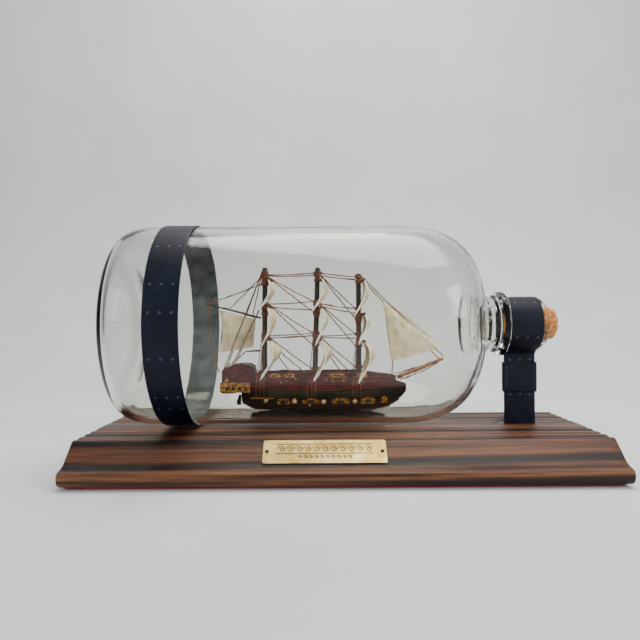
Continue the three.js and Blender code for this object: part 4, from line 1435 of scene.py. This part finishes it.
stay_knots = [(MIZZEN, 28.4), (MAIN, 29.4), (FORE, 27)]
stay_threads = [
    between(stay_knots[0], stay_knots[1]), between(stay_knots[1], stay_knots[2]),
    sagging(at_mast(FORE, 27, FORWARD), (58.6, 0, -18.2), 0.3, 16),
    sagging((FORE["head"] + 1.2, 0, 26.4), (56.4, 0, -20.0), 0.5, 16),
    sagging(at_mast(MIZZEN, 27.8, FORWARD), at_mast(MAIN, 28.2, AFT), 0.4),
    sagging(at_mast(MAIN, 27.9, FORWARD), at_mast(FORE, 25.4, AFT), 0.3),
    sagging((30.4, 0, -27.8), (57.4, 0, -20.6), 0.1),
    sagging((33.4, 0, -31.2), (44, 0, -27.6), 0.3),
    sagging((44, 0, -27.6), (57.8, 0, -20.4), 0.3),
    sagging((30.0, 0, -13.8), (29.0, -0.4, -28.4), 0.0),
]
rigging("masthead_stay_line", "masthead_stay", stay_knots, stay_threads, 0.33)

# Which knot of the aft mast goes to which knot of the mast before it, counted from the top.
STAY_PAIRS = ((0, 0), (0, 1), (1, 0), (1, 2), (1, 3), (2, 2), (2, 4))


def mast_to_mast(name, node, aft, fore, loose, downhauls):
    """The stays between two masts, each given as (mast, heights of its knots), and the lines to the deck."""
    (aft_mast, aft_heights), (fore_mast, fore_heights) = aft, fore
    heights = [(aft_heights[i], fore_heights[j]) for i, j in STAY_PAIRS] + list(loose)
    threads = [between((aft_mast, a), (fore_mast, b)) for a, b in heights]
    threads += [sagging(at_mast(aft_mast, z, FORWARD), (x, 0, deck), 0.2) for z, x, deck in downhauls]
    rigging(name, node, [(mast, z) for mast, knots in (aft, fore) for z in knots], threads)


mast_to_mast(
    "mizzen_main_lines", "mizzen_main_stays",
    (MIZZEN, (27.2, 11.9, -6.3)), (MAIN, (13.2, 7.2, -4.6, -11.2, -25)),
    ((10.4, 8.6), (-7.4, -6.2)), ((-8.8, -18.6, -28.6), (-9.4, -27, -28.8)),
)
mast_to_mast(
    "main_fore_lines", "main_fore_stays", (MAIN, (28, 11.9, -6.4)), (FORE, (9.2, 3.4, -5.4, -12, -24)),
    ((10.6, 6.6), (-6.9, -7.6)), ((-8.2, 6.6, -28.6), (-8.8, 0.8, -27.4)),
)


def shrouds(name, mast):
    """Shrouds down to the chains on both sides, with ratlines across them."""
    top = mast["sails"][1][0] - 3
    threads = []
    for side in SIDES.values():
        feet = [on_hull(side, mast["foot"] + aft, -34, 0.5) for aft in (-4, -1.8, 0.4)]
        head = Vector((mast_x(mast, top), side * (mast_r(mast, top) + 0.25), top))
        threads += [sagging(head, foot, 0.0) for foot in feet]
        for t in spread(0.3, 0.92, 9):
            threads.append(thread([head.lerp(foot, t) for foot in feet], share=0.6))
        threads += [thread([foot, on_hull(side, foot.x, -40, 0.25)]) for foot in feet]
    knots = [(mast, top)] + [(mast, pair[0] + 0.4) for pair in mast["sails"]]
    rigging(f"{name}_shroud_lines", f"{name}_shrouds", knots, threads, 0.2)


for mast_name, mast_data in MASTS.items():
    shrouds(mast_name, mast_data)

backstays = []
for side in SIDES.values():
    backstays.append(sagging(at_mast(MIZZEN, 29.6, AFT), (-65.2, side * 4.4, -24.4), 0.3, 16))
    backstays.append(sagging(at_mast(MIZZEN, 11.6, AFT), (-60.6, side * 5.4, -22.8), 0.2, 16))
backstays.append(sagging(at_mast(MIZZEN, 29.2, AFT), (-49.4, 0, 5.6), 0.2))
rigging("mizzen_backstay_lines", "mizzen_backstays", [(MIZZEN, 29.6)], backstays)

peak = (-74.6, 0, 12.3)
peak_threads = [
    sagging(at_mast(MIZZEN, 23.2, AFT), peak, 0.2, 14),
    sagging(at_mast(MIZZEN, 27.6, AFT), (-62.6, 0, 9.2), 0.2, 14),
    sagging(peak, (-72.9, 0, -15), 0.0), sagging((-72.9, 0, -15), (-68.6, 0, -26.4), 0.2),
    sagging(BOOM[1], (-66.2, 0, -24.8), 0.4),
]
rigging("peak_lines", "peak_line", [(MIZZEN, 23.2)], peak_threads)


# ---- floor, light and camera ------------------------------------------------------------------
def backdrop():
    """A pale floor that curves up into a wall behind the object."""
    width, depth = 30.0, 0.62
    path = [(-40.0, 0.0), (-1.2, 0.0), (depth - 0.3, 0.0)]
    for t in spread(0, 90, 14)[1:]:
        a = math.radians(t)
        path.append((depth - 0.3 + 0.3 * math.sin(a), 0.3 - 0.3 * math.cos(a)))
    path.append((depth, 2.4))
    vertices = [Vector((x, y, z)) for y, z in path for x in (-width, width)]
    faces = [(2 * i, 2 * i + 1, 2 * i + 3, 2 * i + 2) for i in range(len(path) - 1)]
    data = bpy.data.meshes.new("backdrop")
    data.from_pydata([tuple(v) for v in vertices], [], faces)
    data.polygons.foreach_set("use_smooth", [True] * len(data.polygons))
    r = Recipe("backdrop")
    cloud = r.noise(9.0, detail=4.0)
    r.colour(r.ramp(cloud, [(0.3, "#d3d5d8"), (0.7, "#dddee0")]))
    r.rough(cloud, 0.85, 0.95)
    data.materials.append(r.material)
    placed("backdrop", data)


def soft_light(name, place, aim, width, height, power, colour):
    data = bpy.data.lights.new(name, "AREA")
    data.shape = "RECTANGLE"
    data.size, data.size_y = width, height
    data.energy = power
    data.color = srgb(colour)[:3]
    lamp = placed(name, data)
    lamp.location = place
    lamp.rotation_euler = (Vector(aim) - Vector(place)).to_track_quat("-Z", "Y").to_euler()


def camera():
    """Level with the middle of the bottle and a little left of it, as the object is usually looked at."""
    place = Vector((-0.01215, -0.3177, 0.07795))
    yaw, roll, rise = math.radians(0.124), math.radians(-0.313), 0.0029
    ahead = Vector((math.sin(yaw), math.cos(yaw), rise)).normalized()
    right = ahead.cross(Vector((0, 0, 1))).normalized()
    up = right.cross(ahead)
    turned_right = right * math.cos(roll) + up * math.sin(roll)
    turned_up = up * math.cos(roll) - right * math.sin(roll)
    data = bpy.data.cameras.new("camera")
    data.lens = 31.68
    data.sensor_width = 36
    data.clip_start = 0.01
    view = placed("camera", data)
    facing = Matrix((turned_right, turned_up, -ahead)).transposed().to_4x4()
    view.matrix_world = Matrix.Translation(place) @ facing
    bpy.context.scene.camera = view


backdrop()
soft_light("sky", (0.15, 0.12, 1.0), (0, 0, 0.05), 1.1, 0.6, 14, "#fbf9f4")
soft_light("window", (0.8, -0.45, 0.4), (0.05, 0, 0.08), 0.3, 0.5, 5.0, "#ffffff")
soft_light("fill", (-0.9, -0.7, 0.45), (0, 0, 0.06), 0.5, 0.6, 5.0, "#eef3ff")
world = bpy.data.worlds.new("daylight")
world.use_nodes = True
world.node_tree.nodes["Background"].inputs["Color"].default_value = srgb("#e9edf2")
world.node_tree.nodes["Background"].inputs["Strength"].default_value = 0.36
bpy.context.scene.world = world
camera()
